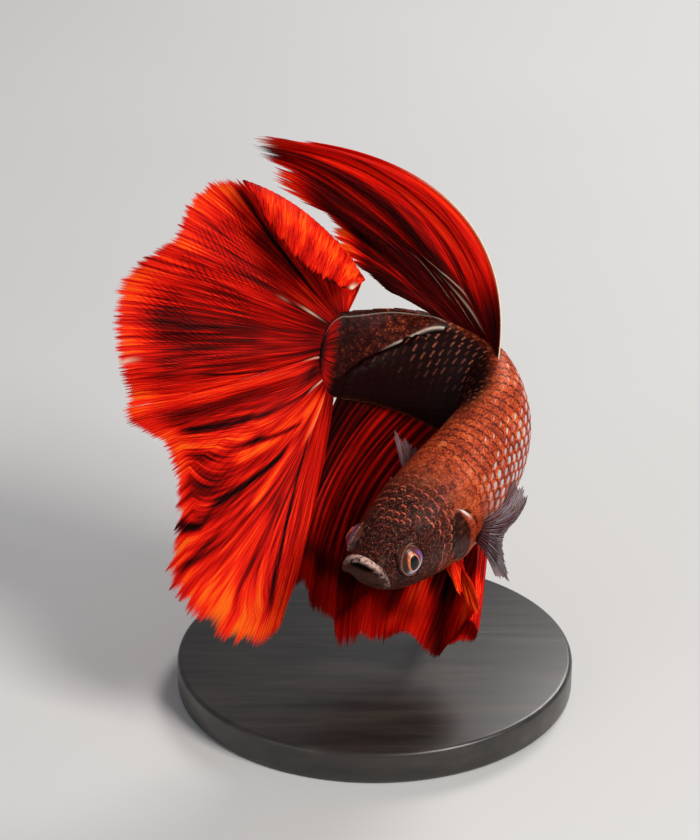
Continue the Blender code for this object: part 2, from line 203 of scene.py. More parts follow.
LEFT_PECTORAL_RAYS = (
    ((17.8, -6.5, -10.5), (18.4, -5, -6.3)),
    ((19, -7, -11.5), (20.2, -6, -7.7)),
    ((18.4, -7.5, -12.6), (19.3, -7.5, -10.8)),
    ((17, -8, -13.6), (17.4, -8.5, -13.4)),
    ((17, -8, -14.2), (17.4, -9, -15.2)),
    ((16.5, -8, -15), (18.3, -9, -18.5)),
    ((15.8, -7.5, -15.5), (16.5, -8.5, -18)),
)
RIGHT_PECTORAL_RAYS = (
    ((6, 2.5, -6), (4.9, 3, -1)),
    ((6.8, 3.4, -6), (6, 4, -1.6)),
    ((7.5, 4.6, -6.5), (7.5, 6, -3)),
    ((8, 5.8, -8), (8.5, 8, -5.5)),
)
LEFT_PELVIC_RAYS = (
    ((14.4, -1.4, -17.5), (15.0, -2.4, -21.6)),
    ((14.0, -1.2, -18.5), (14.9, -2.2, -23.0)),
    ((13.2, -0.6, -18.8), (14.2, -1.6, -22.4)),
    ((12.4, 0.2, -18.4), (13.2, -0.8, -20.6)),
)
RIGHT_PELVIC_RAYS = (
    ((12.3, 2.6, -18), (12.6, 2.4, -20)),
    ((12.5, 3.4, -18), (13.2, 3.6, -21)),
    ((12.8, 4.2, -17.5), (13.8, 4.8, -19.5)),
)
# name, node, guide rays, the root's two ends, bundles of rays, seed
PAIRED_FINS = (
    ("pectoral_l", "pectoral_left", LEFT_PECTORAL_RAYS, (0.293, 102.0), (0.293, 126.0), 11, 41),
    ("pectoral_r", "pectoral_right", RIGHT_PECTORAL_RAYS, (0.293, -100.0), (0.293, -122.0), 9, 43),
    ("pelvic_l", "pelvic_left", LEFT_PELVIC_RAYS, (0.27, 166.0), (0.335, 166.0), 4, 47),
    ("pelvic_r", "pelvic_right", RIGHT_PELVIC_RAYS, (0.27, -166.0), (0.335, -166.0), 4, 53),
)
# Fin marks, most of them painted shade in the folds' valleys and painted light on their tops, and
# the glints painted highlights: across and along at the start, the same at the end, the two widths,
# then power.
TAIL_STREAKS = (
    (0.36, 0.05, 0.385, 0.8, 0.075, 0.05, -0.2),
    (0.41, 0.35, 0.4, 0.72, 0.03, 0.02, -0.1),
    (0.2, 0.3, 0.19, 0.62, 0.04, 0.03, -0.3),
    (0.195, 0.2, 0.145, 0.95, 0.0084, 0.006, -0.5),
    (0.26, 0.1, 0.24, 0.4, 0.02, 0.02, 0.1),
    (0.3, 0.3, 0.28, 0.9, 0.02, 0.03, 0.12),
    (0.495, 0.3, 0.462, 0.62, 0.0036, 0.003, -0.5),
    (0.53, 0.15, 0.5, 0.9, 0.03, 0.03, 0.1),
    (0.575, 0.2, 0.55, 0.85, 0.012, 0.02, -0.2),
    (0.52, 0, 0.62, 0.1, 0.03, 0.03, -0.2),
    (0.685, 0.12, 0.625, 0.5, 0.006, 0.006, -0.42),
    (0.625, 0.5, 0.585, 0.84, 0.006, 0.0084, -0.6),
    (0.65, 0.55, 0.6, 0.9, 0.016, 0.02, 0.15),
    (0.77, 0.08, 0.7, 0.45, 0.035, 0.02, 0.34),
    (0.7, 0.45, 0.635, 0.78, 0.016, 0.02, 0.3),
    (0.745, 0.27, 0.675, 0.5, 0.006, 0.0078, -0.62),
    (0.675, 0.5, 0.62, 0.88, 0.0072, 0.0084, -0.36),
    (0.755, 0.42, 0.705, 0.76, 0.0054, 0.0078, -0.6),
    (0.67, 0.65, 0.655, 0.92, 0.02, 0.02, -0.22),
    (0.77, 0.35, 0.762, 0.62, 0.008, 0.006, 0.35),
    (0.715, 0.83, 0.68, 0.97, 0.0054, 0.0072, -0.7),
    (0.748, 0.8, 0.735, 0.95, 0.0042, 0.0054, -0.5),
    (0.8, 0.06, 0.79, 0.3, 0.02, 0.01, 0.4),
    (0.8, 0.28, 0.85, 0.58, 0.0036, 0.0054, -0.65),
    (0.85, 0.56, 0.895, 0.86, 0.0048, 0.0066, -0.5),
    (0.795, 0.62, 0.785, 0.95, 0.02, 0.035, 0.2),
    (0.81, 0.55, 0.82, 0.8, 0.0024, 0.0036, -0.4),
    (0.84, 0.72, 0.87, 0.97, 0.02, 0.03, 0.2),
)
TAIL_GLINTS = (
    (0.272, 0.04, 0.28, 0.3, 0.0018, 0.0015, 0.8),
    (0.42, 0.93, 0.422, 1.0, 0.003, 0.002, 0.7),
    (0.522, 0.03, 0.512, 0.06, 0.006, 0.005, 0.9),
    (0.705, 0.03, 0.695, 0.09, 0.005, 0.004, 0.9),
    (0.805, 0.06, 0.797, 0.26, 0.002, 0.002, 0.4),
)
TAIL_LEAN = (  # where each ray starts and where it ends
    (0.0, 0.0), (0.165, 0.14), (0.3, 0.3), (0.47, 0.44), (0.5, 0.462), (0.55, 0.5),
    (0.69, 0.585), (0.745, 0.63), (0.77, 0.7), (0.785, 0.75), (0.795, 0.78), (0.81, 0.88),
    (0.88, 0.93), (1.0, 1.0),
)
DORSAL_STREAKS = (
    (0.21, 0.25, 0.08, 0.8, 0.006, 0.006, -0.35),
    (0.26, 0.3, 0.12, 0.88, 0.0072, 0.006, -0.4),
    (0.15, 0.3, 0.06, 0.6, 0.0048, 0.0036, -0.22),
    (0.3, 0.3, 0.17, 0.86, 0.016, 0.02, 0.25),
    (0.38, 0.48, 0.22, 0.9, 0.02, 0.035, 0.4),
    (0.43, 0.38, 0.26, 0.85, 0.0084, 0.0084, -0.3),
    (0.8, 0.5, 0.7, 0.93, 0.016, 0.02, 0.3),
    (0.84, 0.5, 0.8, 0.9, 0.01, 0.012, 0.25),
    (0.48, 0.6, 0.42, 0.75, 0.04, 0.03, 0.16),
    (0.55, 0.8, 0.4, 0.97, 0.009, 0.0072, -0.25),
)
DORSAL_GLINTS = (
    (0.38, 0.12, 0.38, 0.30, 0.012, 0.005, 0.7),
    (0.50, 0.14, 0.44, 0.33, 0.005, 0.004, 0.75),
    (0.555, 0.26, 0.46, 0.46, 0.004, 0.003, 0.6),
    (0.33, 0.24, 0.36, 0.40, 0.004, 0.003, 0.5),
)
DORSAL_LEAN = (
    (0.0, 0.0), (0.2, 0.08), (0.3, 0.12), (0.5, 0.22), (0.7, 0.36), (0.8, 0.66), (0.9, 0.85),
    (1.0, 1.0),
)
ANAL_STREAKS = (
    (0.29, 0.45, 0.25, 0.95, 0.02, 0.024, -0.3),
    (0.36, 0.40, 0.38, 0.80, 0.02, 0.03, -0.25),
    (0.10, 0.30, 0.04, 0.90, 0.02, 0.02, 0.2),
    (0.20, 0.50, 0.18, 0.78, 0.03, 0.025, 0.2),
    (0.345, 0.62, 0.375, 0.88, 0.02, 0.02, 0.35),
    (0.46, 0.75, 0.62, 0.97, 0.02, 0.02, -0.15),
    (0.15, 0.75, 0.2, 0.97, 0.01, 0.012, -0.3),
)
# The stand, the camera and the stage, in metres
FERRULE_RADIUS, FERRULE_HEIGHT, FERRULE_BEVEL = 0.0021, 0.0016, 0.0003
PLINTH_BEVEL = 0.0006
PLINTH_STEPS = ((0.0016, 0.0), (0.0002, -0.00025), (0.0005, 0.0), (0.0002, 0.00025))  # in, then up
LAMP_TARGET = (0, 0, 0.035)
CAMERA_SPOT = (-0.003, -0.3202, 0.1844)
CAMERA_TARGET = (-0.003, -0.003, 0.0365)


# ---------------------------------------------------------------- shapes of the fish


def unit(vectors):
    return vectors / np.maximum(np.linalg.norm(vectors, axis=-1, keepdims=True), 1e-12)


def ease(at, start, end):
    """0 before start, 1 after end, with a smooth rise between."""
    t = np.clip((at - start) / (end - start), 0, 1)
    return t * t * (3 - 2 * t)


def band(at, rise, top, fall, end):
    """1 from top to fall, 0 before rise and after end."""
    return ease(at, rise, top) * (1 - ease(at, fall, end))


def hump(at, middle, width):
    return np.exp(-(((at - middle) / width) ** 2))


def read(table, at):
    """The columns of a table at these places in its first column, along a smooth curve."""
    rows = np.array(table, float)
    knots, values = rows[:, 0], rows[:, 1:]
    slopes = np.gradient(values, knots, axis=0)
    at = np.clip(np.asarray(at, float), knots[0], knots[-1])
    i = np.clip(np.searchsorted(knots, at, side="right") - 1, 0, len(knots) - 2)
    span = knots[i + 1] - knots[i]
    t = ((at - knots[i]) / span)[..., None]
    span = span[..., None]
    return (
        values[i] * (1 + 2 * t) * (1 - t) ** 2
        + slopes[i] * span * t * (1 - t) ** 2
        + values[i + 1] * t * t * (3 - 2 * t)
        + slopes[i + 1] * span * t * t * (t - 1)
    )


def grain(points, size, seed=0.0):
    """Smooth random numbers from -1 to 1 over these places, in lumps of this size."""
    cells = np.asarray(points, float) / size
    low = np.floor(cells)
    part = cells - low
    part = part * part * (3 - 2 * part)
    total = 0.0
    for corner in range(8):
        step = np.array((corner & 1, corner >> 1 & 1, corner >> 2 & 1))
        number = np.sin((low + step) @ np.array((12.9898, 78.233, 37.719)) + seed) * 43758.5453
        weight = np.prod(np.where(step, part, 1 - part), axis=-1)
        total = total + (number - np.floor(number)) * weight
    return total * 2 - 1


def wander(seed, across, along=0.0):
    """grain over places of a sheet, in lumps of size 1."""
    return grain(np.stack(np.broadcast_arrays(across, along, 0.0), axis=-1), 1.0, seed)


def chance(count, seed):
    return np.random.default_rng(seed).random(count)


def body_frames(share):
    """Along the body: the spine's place, and the ways backwards, to the left and up."""
    share = np.asarray(share, float)
    spine = read(SPINE, share)
    back = unit(read(SPINE, share + 0.004) - read(SPINE, share - 0.004))
    up = read(UPWARDS, share)
    up = unit(up - back * (up * back).sum(-1, keepdims=True))
    return spine, back, np.cross(back, up), up


def body_points(share, angle, grow=0.0):
    """Places on the body. Angle 0 is the ridge of the back, 90 the left side, 180 the belly."""
    spine, _, left, up = body_frames(share)
    size = read(SECTIONS, share)
    turn = np.radians(angle)
    across = (size[..., 0] + grow) * np.sin(turn)
    height = np.where(np.cos(turn) > 0, size[..., 1], size[..., 2]) + grow
    return spine + left * across[..., None] + up * (height * np.cos(turn))[..., None]


def head_places(places):
    """Places given from the tip of the snout, as back, left and up."""
    spine, back, left, up = body_frames(0.0)
    places = np.asarray(places, float)
    return spine + places[..., :1] * back + places[..., 1:2] * left + places[..., 2:] * up


def head_way(way):
    _, back, left, up = body_frames(EYE_SHARE)
    return unit(way[0] * back + way[1] * left + way[2] * up)


def pulled(pulls, at):
    """Places on curves that these points pull. pulls is (..., points, 3), at is (...)."""
    count = pulls.shape[-2]
    total = 0.0
    for k in range(count):
        weight = math.comb(count - 1, k) * at**k * (1 - at) ** (count - 1 - k)
        total = total + pulls[..., k, :] * weight[..., None]
    return total


def eye_centre(side):
    return body_points(EYE_SHARE, side * EYE_ROUND, EYE_PROUD - EYE_RADIUS)


# ---------------------------------------------------------------- meshes


def settled(points):
    """Places of the fish's own frame, in metres over the stand."""
    return (np.asarray(points) @ TIPPED.T + SHIFT) * MM


def make_piece(name, points, faces, finish, nodes, values, unwrap=None, sharp=None):
    """A mesh piece. faces holds arrays of corners, unwrap a place in the unwrap per corner."""
    mesh = bpy.data.meshes.new(name)
    corners = np.concatenate([group.ravel() for group in faces])
    sizes = np.concatenate([np.full(len(group), group.shape[1]) for group in faces])

    def fill(layer, word, numbers, kind=np.float32):
        layer.foreach_set(word, np.ascontiguousarray(numbers, kind).ravel())

    mesh.vertices.add(len(points))
    fill(mesh.vertices, "co", settled(points))
    mesh.loops.add(len(corners))
    fill(mesh.loops, "vertex_index", corners, np.int32)
    mesh.polygons.add(len(sizes))
    fill(mesh.polygons, "loop_start", np.cumsum(sizes) - sizes, np.int32)
    for word, numbers in values.items():
        fill(mesh.attributes.new(word, "FLOAT", "POINT").data, "value", numbers)
    if unwrap is not None:
        fill(mesh.uv_layers.new(name="OFBake").data, "uv", unwrap)
    mesh.update(calc_edges=True)
    mesh.shade_smooth()
    if sharp is not None:
        mesh.set_sharp_from_angle(angle=math.radians(sharp))
    mesh.materials.append(finish)
    made = bpy.data.objects.new(name, mesh)
    bpy.context.scene.collection.objects.link(made)
    place_piece(made, nodes)


def place_piece(piece, nodes):
    """The piece rides on the model, stands for these nodes and takes this slot's finish."""
    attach(piece, BODY)
    if nodes:
        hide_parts(*nodes)


def grid_quads(rows, columns):
    i, j = np.divmod(np.arange((rows - 1) * (columns - 1)), columns - 1)
    low = i * columns + j
    return np.column_stack((low, low + columns, low + columns + 1, low + 1))


def capped_faces(rows, columns):
    """Faces of a grid that closes round, and those to its two poles, which are its last points."""
    i, j = np.divmod(np.arange((rows - 1) * columns), columns)
    k = (j + 1) % columns
    low, high = i * columns, (i + 1) * columns
    ring, after, count = j[:columns], k[:columns], rows * columns
    nose = np.column_stack((after, ring, np.full(columns, count)))
    tail = np.column_stack((ring, after, np.full(columns, columns + 1))) + count - columns
    return np.column_stack((low + j, low + k, high + k, high + j)), nose, tail


def sheet_mesh(middle, normal, half):
    """A closed sheet, half as thick as half says: its points, faces and places in the unwrap."""
    rows, columns = middle.shape[:2]
    count = rows * columns
    off = normal * half[..., None]
    points = np.concatenate(((middle + off).reshape(-1, 3), (middle - off).reshape(-1, 3)))
    quads = grid_quads(rows, columns)
    at = np.arange(count).reshape(rows, columns)
    rims = []
    for line in (at[0], at[-1, ::-1], at[::-1, 0], at[:, -1]):
        rims.append(np.column_stack((line[:-1], line[1:], line[1:] + count, line[:-1] + count)))
    faces = np.concatenate((quads, quads[:, ::-1] + count, *rims))
    u = np.repeat(np.linspace(0.01, 0.99, rows), columns)
    v = np.tile(np.linspace(0.02, 0.98, columns), rows) * 0.5
    spots = np.concatenate((np.column_stack((u, v)), np.column_stack((u, v + 0.5))))
    return points, faces, spots[faces.ravel()]


def grid_normals(points):
    return unit(np.cross(np.gradient(points, axis=0), np.gradient(points, axis=1)))


# ---------------------------------------------------------------- the body's surface


def tube_distance(places, centres, radii):
    """How far these places are outside a tube with these centres and radii."""
    return (np.linalg.norm(places[:, None] - centres, axis=-1) - radii).min(axis=1)


def merged(a, b, soft):
    """Two distances joined with a soft crease."""
    blend = np.clip(0.5 + 0.5 * (b - a) / soft, 0, 1)
    return b + (a - b) * blend - soft * blend * (1 - blend)


def arc_tube(arc, radii, middle=0.0, reach=1.0):
    """A tube along half an arc and its mirror image, thickest at the middle: centres and radii."""
    across = np.linspace(-1, 1, 71)
    places = pulled(np.array([arc] * len(across)), np.abs(across))
    places[:, 1] *= np.sign(across)
    away = np.minimum(np.abs(across - middle) / reach, 1) ** 2
    return head_places(places), radii[0] + (radii[1] - radii[0]) * away


def ring_distance(places, centre, axis, offset, ring, tube):
    """How far these places are outside a ring of this size."""
    away = places - (centre + axis * offset)
    high = away @ axis
    wide = np.linalg.norm(away - high[:, None] * axis, axis=1)
    return np.hypot(wide - ring, high) - tube


class HeadForms:
    """The lips, nostrils and eyelids, as distances that the skin is raised to."""

    def __init__(self):
        self.upper = arc_tube(UPPER_LIP, UPPER_LIP_RADII)
        self.lower = arc_tube(LOWER_LIP, LOWER_LIP_RADII)
        self.mouth = arc_tube(MOUTH_LINE, MOUTH_RADII, *MOUTH_OPENING)
        self.eyes, self.nostrils = [], []
        share, turn = NOSTRIL
        for side, gaze in EYE_GAZES.items():
            centre = eye_centre(side)
            out = unit(body_points(EYE_SHARE, side * EYE_ROUND, 1.0) - centre)
            self.eyes.append((centre, unit(out * 0.72 + head_way(gaze) * 0.28)))
            root = body_points(share, side * turn)
            self.nostrils.append((root, unit(body_points(share, side * turn, 1.0) - root)))

    def distance(self, places, raised):
        """How far these places are outside the head, raised being their height over the skin."""
        lips = merged(tube_distance(places, *self.upper), tube_distance(places, *self.lower), 0.08)
        total = merged(raised, lips, 0.45)
        for centre, axis in self.eyes:
            total = merged(total, ring_distance(places, centre, axis, *LID), 0.2)
            ball = np.linalg.norm(places - centre, axis=1) - EYE_RADIUS - 0.02
            total = np.maximum(total, -ball)
        for root, axis in self.nostrils:
            pipe = ring_distance(places, root, axis, 0.16, 0.26, 0.13)
            total = merged(total, pipe, 0.15)
            pit = np.linalg.norm(places - root - axis * 0.25, axis=1) - 0.17
            total = -merged(-total, pit, 0.06)
        slit = tube_distance(places, *self.mouth)
        return -merged(-total, slit, 0.1)

    def lip_share(self, places):
        return 1 - ease(tube_distance(places, *self.upper), 0.0, 0.2)

    def crest_share(self, places):
        """The upper lip's pale crest."""
        centres, radii = self.upper
        near = np.linalg.norm(places[:, None] - centres, axis=-1).argmin(axis=1)
        out = (places - centres[near]) @ head_way((-0.55, 0.0, 0.83)) / radii[near]
        return ease(out, 0.55, 0.9) * self.lip_share(places)

    def jaw_share(self, places):
        return 1 - ease(tube_distance(places, *self.lower), 0.0, 0.35)

    def lid_share(self, places):
        share = np.zeros(len(places))
        for centre, axis in self.eyes:
            near = 1 - ease(ring_distance(places, centre, axis, *LID), -0.04, 0.06)
            share = np.maximum(share, near * ease((places - centre) @ axis - LID[0], -0.02, 0.04))
        return share

    def pit_share(self, places):
        """1 in the mouth's slit and the nostrils, 0 a little away from them."""
        near = tube_distance(places, *self.mouth)
        for root, axis in self.nostrils:
            near = np.minimum(near, np.linalg.norm(places - root - axis * 0.2, axis=1) - 0.16)
        return 1 - ease(near, 0.0, 0.16)


def gill_cover(share, turn):
    """How far inside a gill cover places are, how near its rear edge, and in its two grooves."""
    around = np.abs(turn)
    rear = 0.267 - 1.5e-5 * (around - 113) ** 2
    fore = 0.168 + 2.4e-5 * (around - 84) ** 2
    inside = band(share, fore, fore + 0.02, rear - 0.001, rear + 0.0022)
    inside = inside * band(around, 57, 63, 134, 142)
    along = np.clip((share - fore) / np.maximum(rear - fore, 0.02), 0, 1)
    behind = hump(share, rear + 0.006, 0.0055) * band(around, 58, 68, 130, 142)
    before = hump(share, fore - 0.002, 0.005) * band(around, 62, 72, 120, 135)
    return inside, along, behind, before


def skin_relief(share, turn, places):
    """The height of the skin's own forms over the plain body, in millimetres."""
    around = np.abs(turn)
    inside, along, behind, before = gill_cover(share, turn)
    high = inside * (0.1 + 0.3 * along**2) - 0.28 * behind - 0.1 * before
    high = high - 0.35 * hump(around, 180, 7) * band(share, 0.03, 0.07, 0.2, 0.27)
    high = high + 0.25 * hump(around, 42, 16) * hump(share, 0.075, 0.035)
    high = high + 0.22 * hump(around, 118, 16) * hump(share, 0.1, 0.04) + fold_height(share, turn)
    head = 1 - ease(share, 0.2, 0.3)
    lumps = 0.06 * grain(places, 0.9, 1.0) + 0.035 * grain(places, 0.38, 2.0)
    return high + lumps * (0.25 + 0.75 * head)


def over_fold(share, turn):
    """How far round over the fold's line these places are."""
    return read(FOLD_LINE, share)[..., 0] + turn


def fold_height(share, turn):
    """The lip of skin that the bend pushes up on the right of the tail's root."""
    above = over_fold(share, turn)
    lip = 0.8 * band(above, -2.5, 2.5, 8, 44) - 0.3 * hump(above, -6, 7)
    return lip * band(share, 0.755, 0.83, 0.93, 1.0) * (turn < 0)


def fold_edge(share, turn):
    """The fold's pale crest, which thins and ends half way to the tail."""
    crest = hump(over_fold(share, turn), 2.2, 1.3)
    return crest * band(share, 0.765, 0.8, 0.86, 0.93) * (turn < 0)


def vein_line(share, turn, at):
    """A thin line along the top of the leaf of smooth skin."""
    return hump(turn, at - 8 * ease(share, 0.9, 1.0), 1.3) * ease(share, 0.77, 0.8)


def leaf_share(share, turn):
    """The smooth skin over the fold, from it up to the ridge."""
    return ease(share, 0.77, 0.82) * ease(over_fold(share, turn), 1, 5) * (1 - ease(turn, 0, 10))


class BodySurface:
    """The finished skin as a grid of places, round the body by along it."""

    ROUND = 240

    def __init__(self, coat):
        breaks = ((0, 0.09, 72), (0.09, 0.28, 98), (0.28, 0.74, 84), (0.74, 1, 66))
        shares = np.concatenate([[0.0]] + [np.linspace(*steps)[1:] for steps in breaks])
        nose = tail = np.linspace(0, math.pi / 2, 15)[1:-1]
        self.start, self.body = len(nose), shares
        self.shares = np.concatenate((np.zeros(len(nose)), shares, np.ones(len(tail))))
        shrink = np.concatenate((np.sin(nose), np.ones(len(shares)), np.cos(tail)))
        shift = np.concatenate(
            (-SNOUT_ROUND * np.cos(nose), np.zeros(len(shares)), TAIL_ROUND * np.sin(tail))
        )
        turns = np.arange(self.ROUND) * 360.0 / self.ROUND - 180.0
        share, turn = np.meshgrid(self.shares, turns, indexing="ij")
        spine, back, _, _ = body_frames(self.shares)
        base = body_points(share, turn, -coat)
        base = spine[:, None] + (base - spine[:, None]) * shrink[:, None, None]
        base = base + back[:, None] * shift[:, None, None]
        normal = self.normals(base)
        high = skin_relief(share, turn, base)
        self.places = base + normal * high[..., None]
        self.forms = HeadForms()
        self.raise_head(normal)
        self.normal = self.normals(self.places)
        self.share, self.turn = share, turn
        ends = np.concatenate((np.zeros(len(self.shares) - len(tail)), np.sin(tail)))
        self.end = np.broadcast_to(ends[:, None], share.shape)

    def normals(self, places):
        around = np.roll(places, -1, axis=1) - np.roll(places, 1, axis=1)
        return unit(np.cross(around, np.gradient(places, axis=0)))

    def raise_head(self, normal):
        """Draws the skin of the head out to the lips, lids and nostrils."""
        rows = self.shares < HEAD_END
        places = self.places[rows].reshape(-1, 3)
        ways = normal[rows].reshape(-1, 3)
        low, top, steps, stride = -1.4, 1.8, 46, 0.75
        high = np.full(len(places), 1.7)
        for _ in range(steps):
            high = high - stride * self.forms.distance(places + ways * high[:, None], high)
            high = np.clip(high, low, top)
        moved = places + ways * high[:, None]
        self.places[rows] = moved.reshape(-1, self.ROUND, 3)

    def sample(self, share, turn):
        """The skin's places and normals anywhere on it."""
        row = np.interp(share, self.body, np.arange(len(self.body))) + self.start
        column = ((np.asarray(turn) + 180.0) % 360.0) * self.ROUND / 360.0
        i = np.clip(row.astype(int), 0, len(self.shares) - 2)
        j = column.astype(int) % self.ROUND
        k = (j + 1) % self.ROUND
        a = (row - i)[..., None]
        b = (column - np.floor(column))[..., None]
        found = []
        for grid in (self.places, self.normal):
            low = grid[i, j] * (1 - b) + grid[i, k] * b
            high = grid[i + 1, j] * (1 - b) + grid[i + 1, k] * b
            found.append(low * (1 - a) + high * a)
        return found[0], unit(found[1])


def coat_depth():
    return bpy.context.scene.betta_sizes.coat_depth / MM


surfaces = {}


def body_surface():
    """The skin under a coat of the set depth, which is only worked out once."""
    coat = coat_depth()
    if coat not in surfaces:
        surfaces[coat] = BodySurface(coat)
    return surfaces[coat]


# ---------------------------------------------------------------- materials


class Value:
    """A number in a shader. A sum or a product of it adds a node."""

    def __init__(self, recipe, socket):
        self.recipe, self.socket = recipe, socket

    def __add__(self, other):
        return self.recipe.math("ADD", self, other)

    def __radd__(self, other):
        return self.recipe.math("ADD", other, self)

    def __sub__(self, other):
        return self.recipe.math("SUBTRACT", self, other)

    def __rsub__(self, other):
        return self.recipe.math("SUBTRACT", other, self)

    def __mul__(self, other):
        return self.recipe.math("MULTIPLY", self, other)


class Recipe:
    """Adds nodes to a tree. An input takes a number, a colour, a value or another node's output."""

    def __init__(self, tree):
        self.tree = tree
        tree.nodes.clear()

    def feed(self, node, inputs):
        for place, value in inputs.items():
            socket, value = node.inputs[place], getattr(value, "socket", value)
            if isinstance(value, bpy.types.NodeSocket):
                self.tree.links.new(value, socket)
            elif socket.type == "RGBA":
                socket.default_value = (*value, 1.0)
            else:
                socket.default_value = value

    def node(self, kind, inputs, **settings):
        made = self.tree.nodes.new(f"ShaderNode{kind}")
        for word, value in settings.items():
            setattr(made, word, value)
        self.feed(made, inputs)
        return made

    def math(self, operation, a, b=0.5, clamp=False):
        made = self.node("Math", {0: a, 1: b}, operation=operation, use_clamp=clamp)
        return Value(self, made.outputs[0])

    def between(self, value, start, end):
        """0 where the value is under start, 1 over end."""
        inputs = {0: value, 1: start, 2: end}
        made = self.node("MapRange", inputs, interpolation_type="SMOOTHSTEP")
        return Value(self, made.outputs[0])

    def mix(self, share, a, b):
        return self.node("Mix", {0: share, 6: a, 7: b}, data_type="RGBA").outputs[2]

    def coats(self, colour, *coats):
        """A colour under coats, each with its share and its own colour."""
        for share, coat in coats:
            colour = self.mix(share, colour, coat)
        return colour

    def ramp(self, at, *stops):
        made = self.node("ValToRGB", {0: at})
        ramp = made.color_ramp
        while len(ramp.elements) < len(stops):
            ramp.elements.new(0.5)
        for element, (place, colour) in zip(ramp.elements, stops):
            element.position = place
            element.color = (*colour, 1.0)
        return made.outputs[0]

    def values(self, *names):
        made = [self.node("Attribute", {}, attribute_name=name).outputs["Fac"] for name in names]
        return [Value(self, socket) for socket in made]

    def value(self, name):
        return self.values(name)[0]

    def vector(self, *numbers):
        return self.node("CombineXYZ", dict(enumerate(numbers))).outputs[0]

    def object_place(self, stretch=None):
        place = self.node("TexCoord", {}).outputs["Object"]
        return self.node("Mapping", {0: place, "Scale": stretch}).outputs[0] if stretch else place

    def noise(self, place, scale, detail=2.0, rough=0.5):
        inputs = {"Vector": place, "Scale": scale, "Detail": detail, "Roughness": rough}
        return Value(self, self.node("TexNoise", inputs).outputs[0])

    def bump(self, height, strength, distance):
        inputs = {"Height": height, "Strength": strength, "Distance": distance}
        return self.node("Bump", inputs).outputs[0]

    def effect(self, group, **inputs):
        """What a node group puts out. It reads the inputs that aren't given from the mesh."""
        made = self.node("Group", {}, node_tree=group)
        for word in [socket.name for socket in made.inputs if socket.name not in inputs]:
            inputs[word] = self.value(word)
        self.feed(made, inputs)
        return [Value(self, socket) for socket in made.outputs]

    def finish(self, **inputs):
        """The surface shader with these inputs, as the tree's result."""
        inputs = {word.replace("_", " "): value for word, value in inputs.items()}
        shader = self.node("BsdfPrincipled", inputs)
        self.node("OutputMaterial", {0: shader.outputs[0]})


def material(name):
    """Turns a function that fills a recipe into one that makes the material once and returns it."""

    def around(fill):
        def kept():
            made = bpy.data.materials.get(name)
            if not made:
                made = bpy.data.materials.new(name)
                made.use_nodes = True
                fill(Recipe(made.node_tree))
            return made

        return kept

    return around


def node_group(name, inputs, **outputs):
    """The same for a node group, with the names of its inputs and outputs."""

    def around(fill):
        def kept():
            tree = bpy.data.node_groups.get(name)
            if not tree:
                tree = bpy.data.node_groups.new(name, "ShaderNodeTree")
                new_socket = tree.interface.new_socket
                for word in inputs:
                    new_socket(word, in_out="INPUT", socket_type="NodeSocketFloat")
                for word, kind in outputs.items():
                    new_socket(word, in_out="OUTPUT", socket_type=f"NodeSocket{kind}")
                r = Recipe(tree)
                given = tree.nodes.new("NodeGroupInput").outputs
                made = fill(r, *(Value(r, given[word]) for word in inputs))
                r.feed(tree.nodes.new("NodeGroupOutput"), dict(zip(outputs, made)))
            return tree

        return kept

    return around


NEARLY_BLACK = (0.012, 0.002, 0.002)
MARKS = ("share", "back", "left", "rear", "side", "edge", "tone")
RAYS = ("along", "flow", "fineness", "comb", "ray", "crease", "barb", "tone_and_light", "rim")


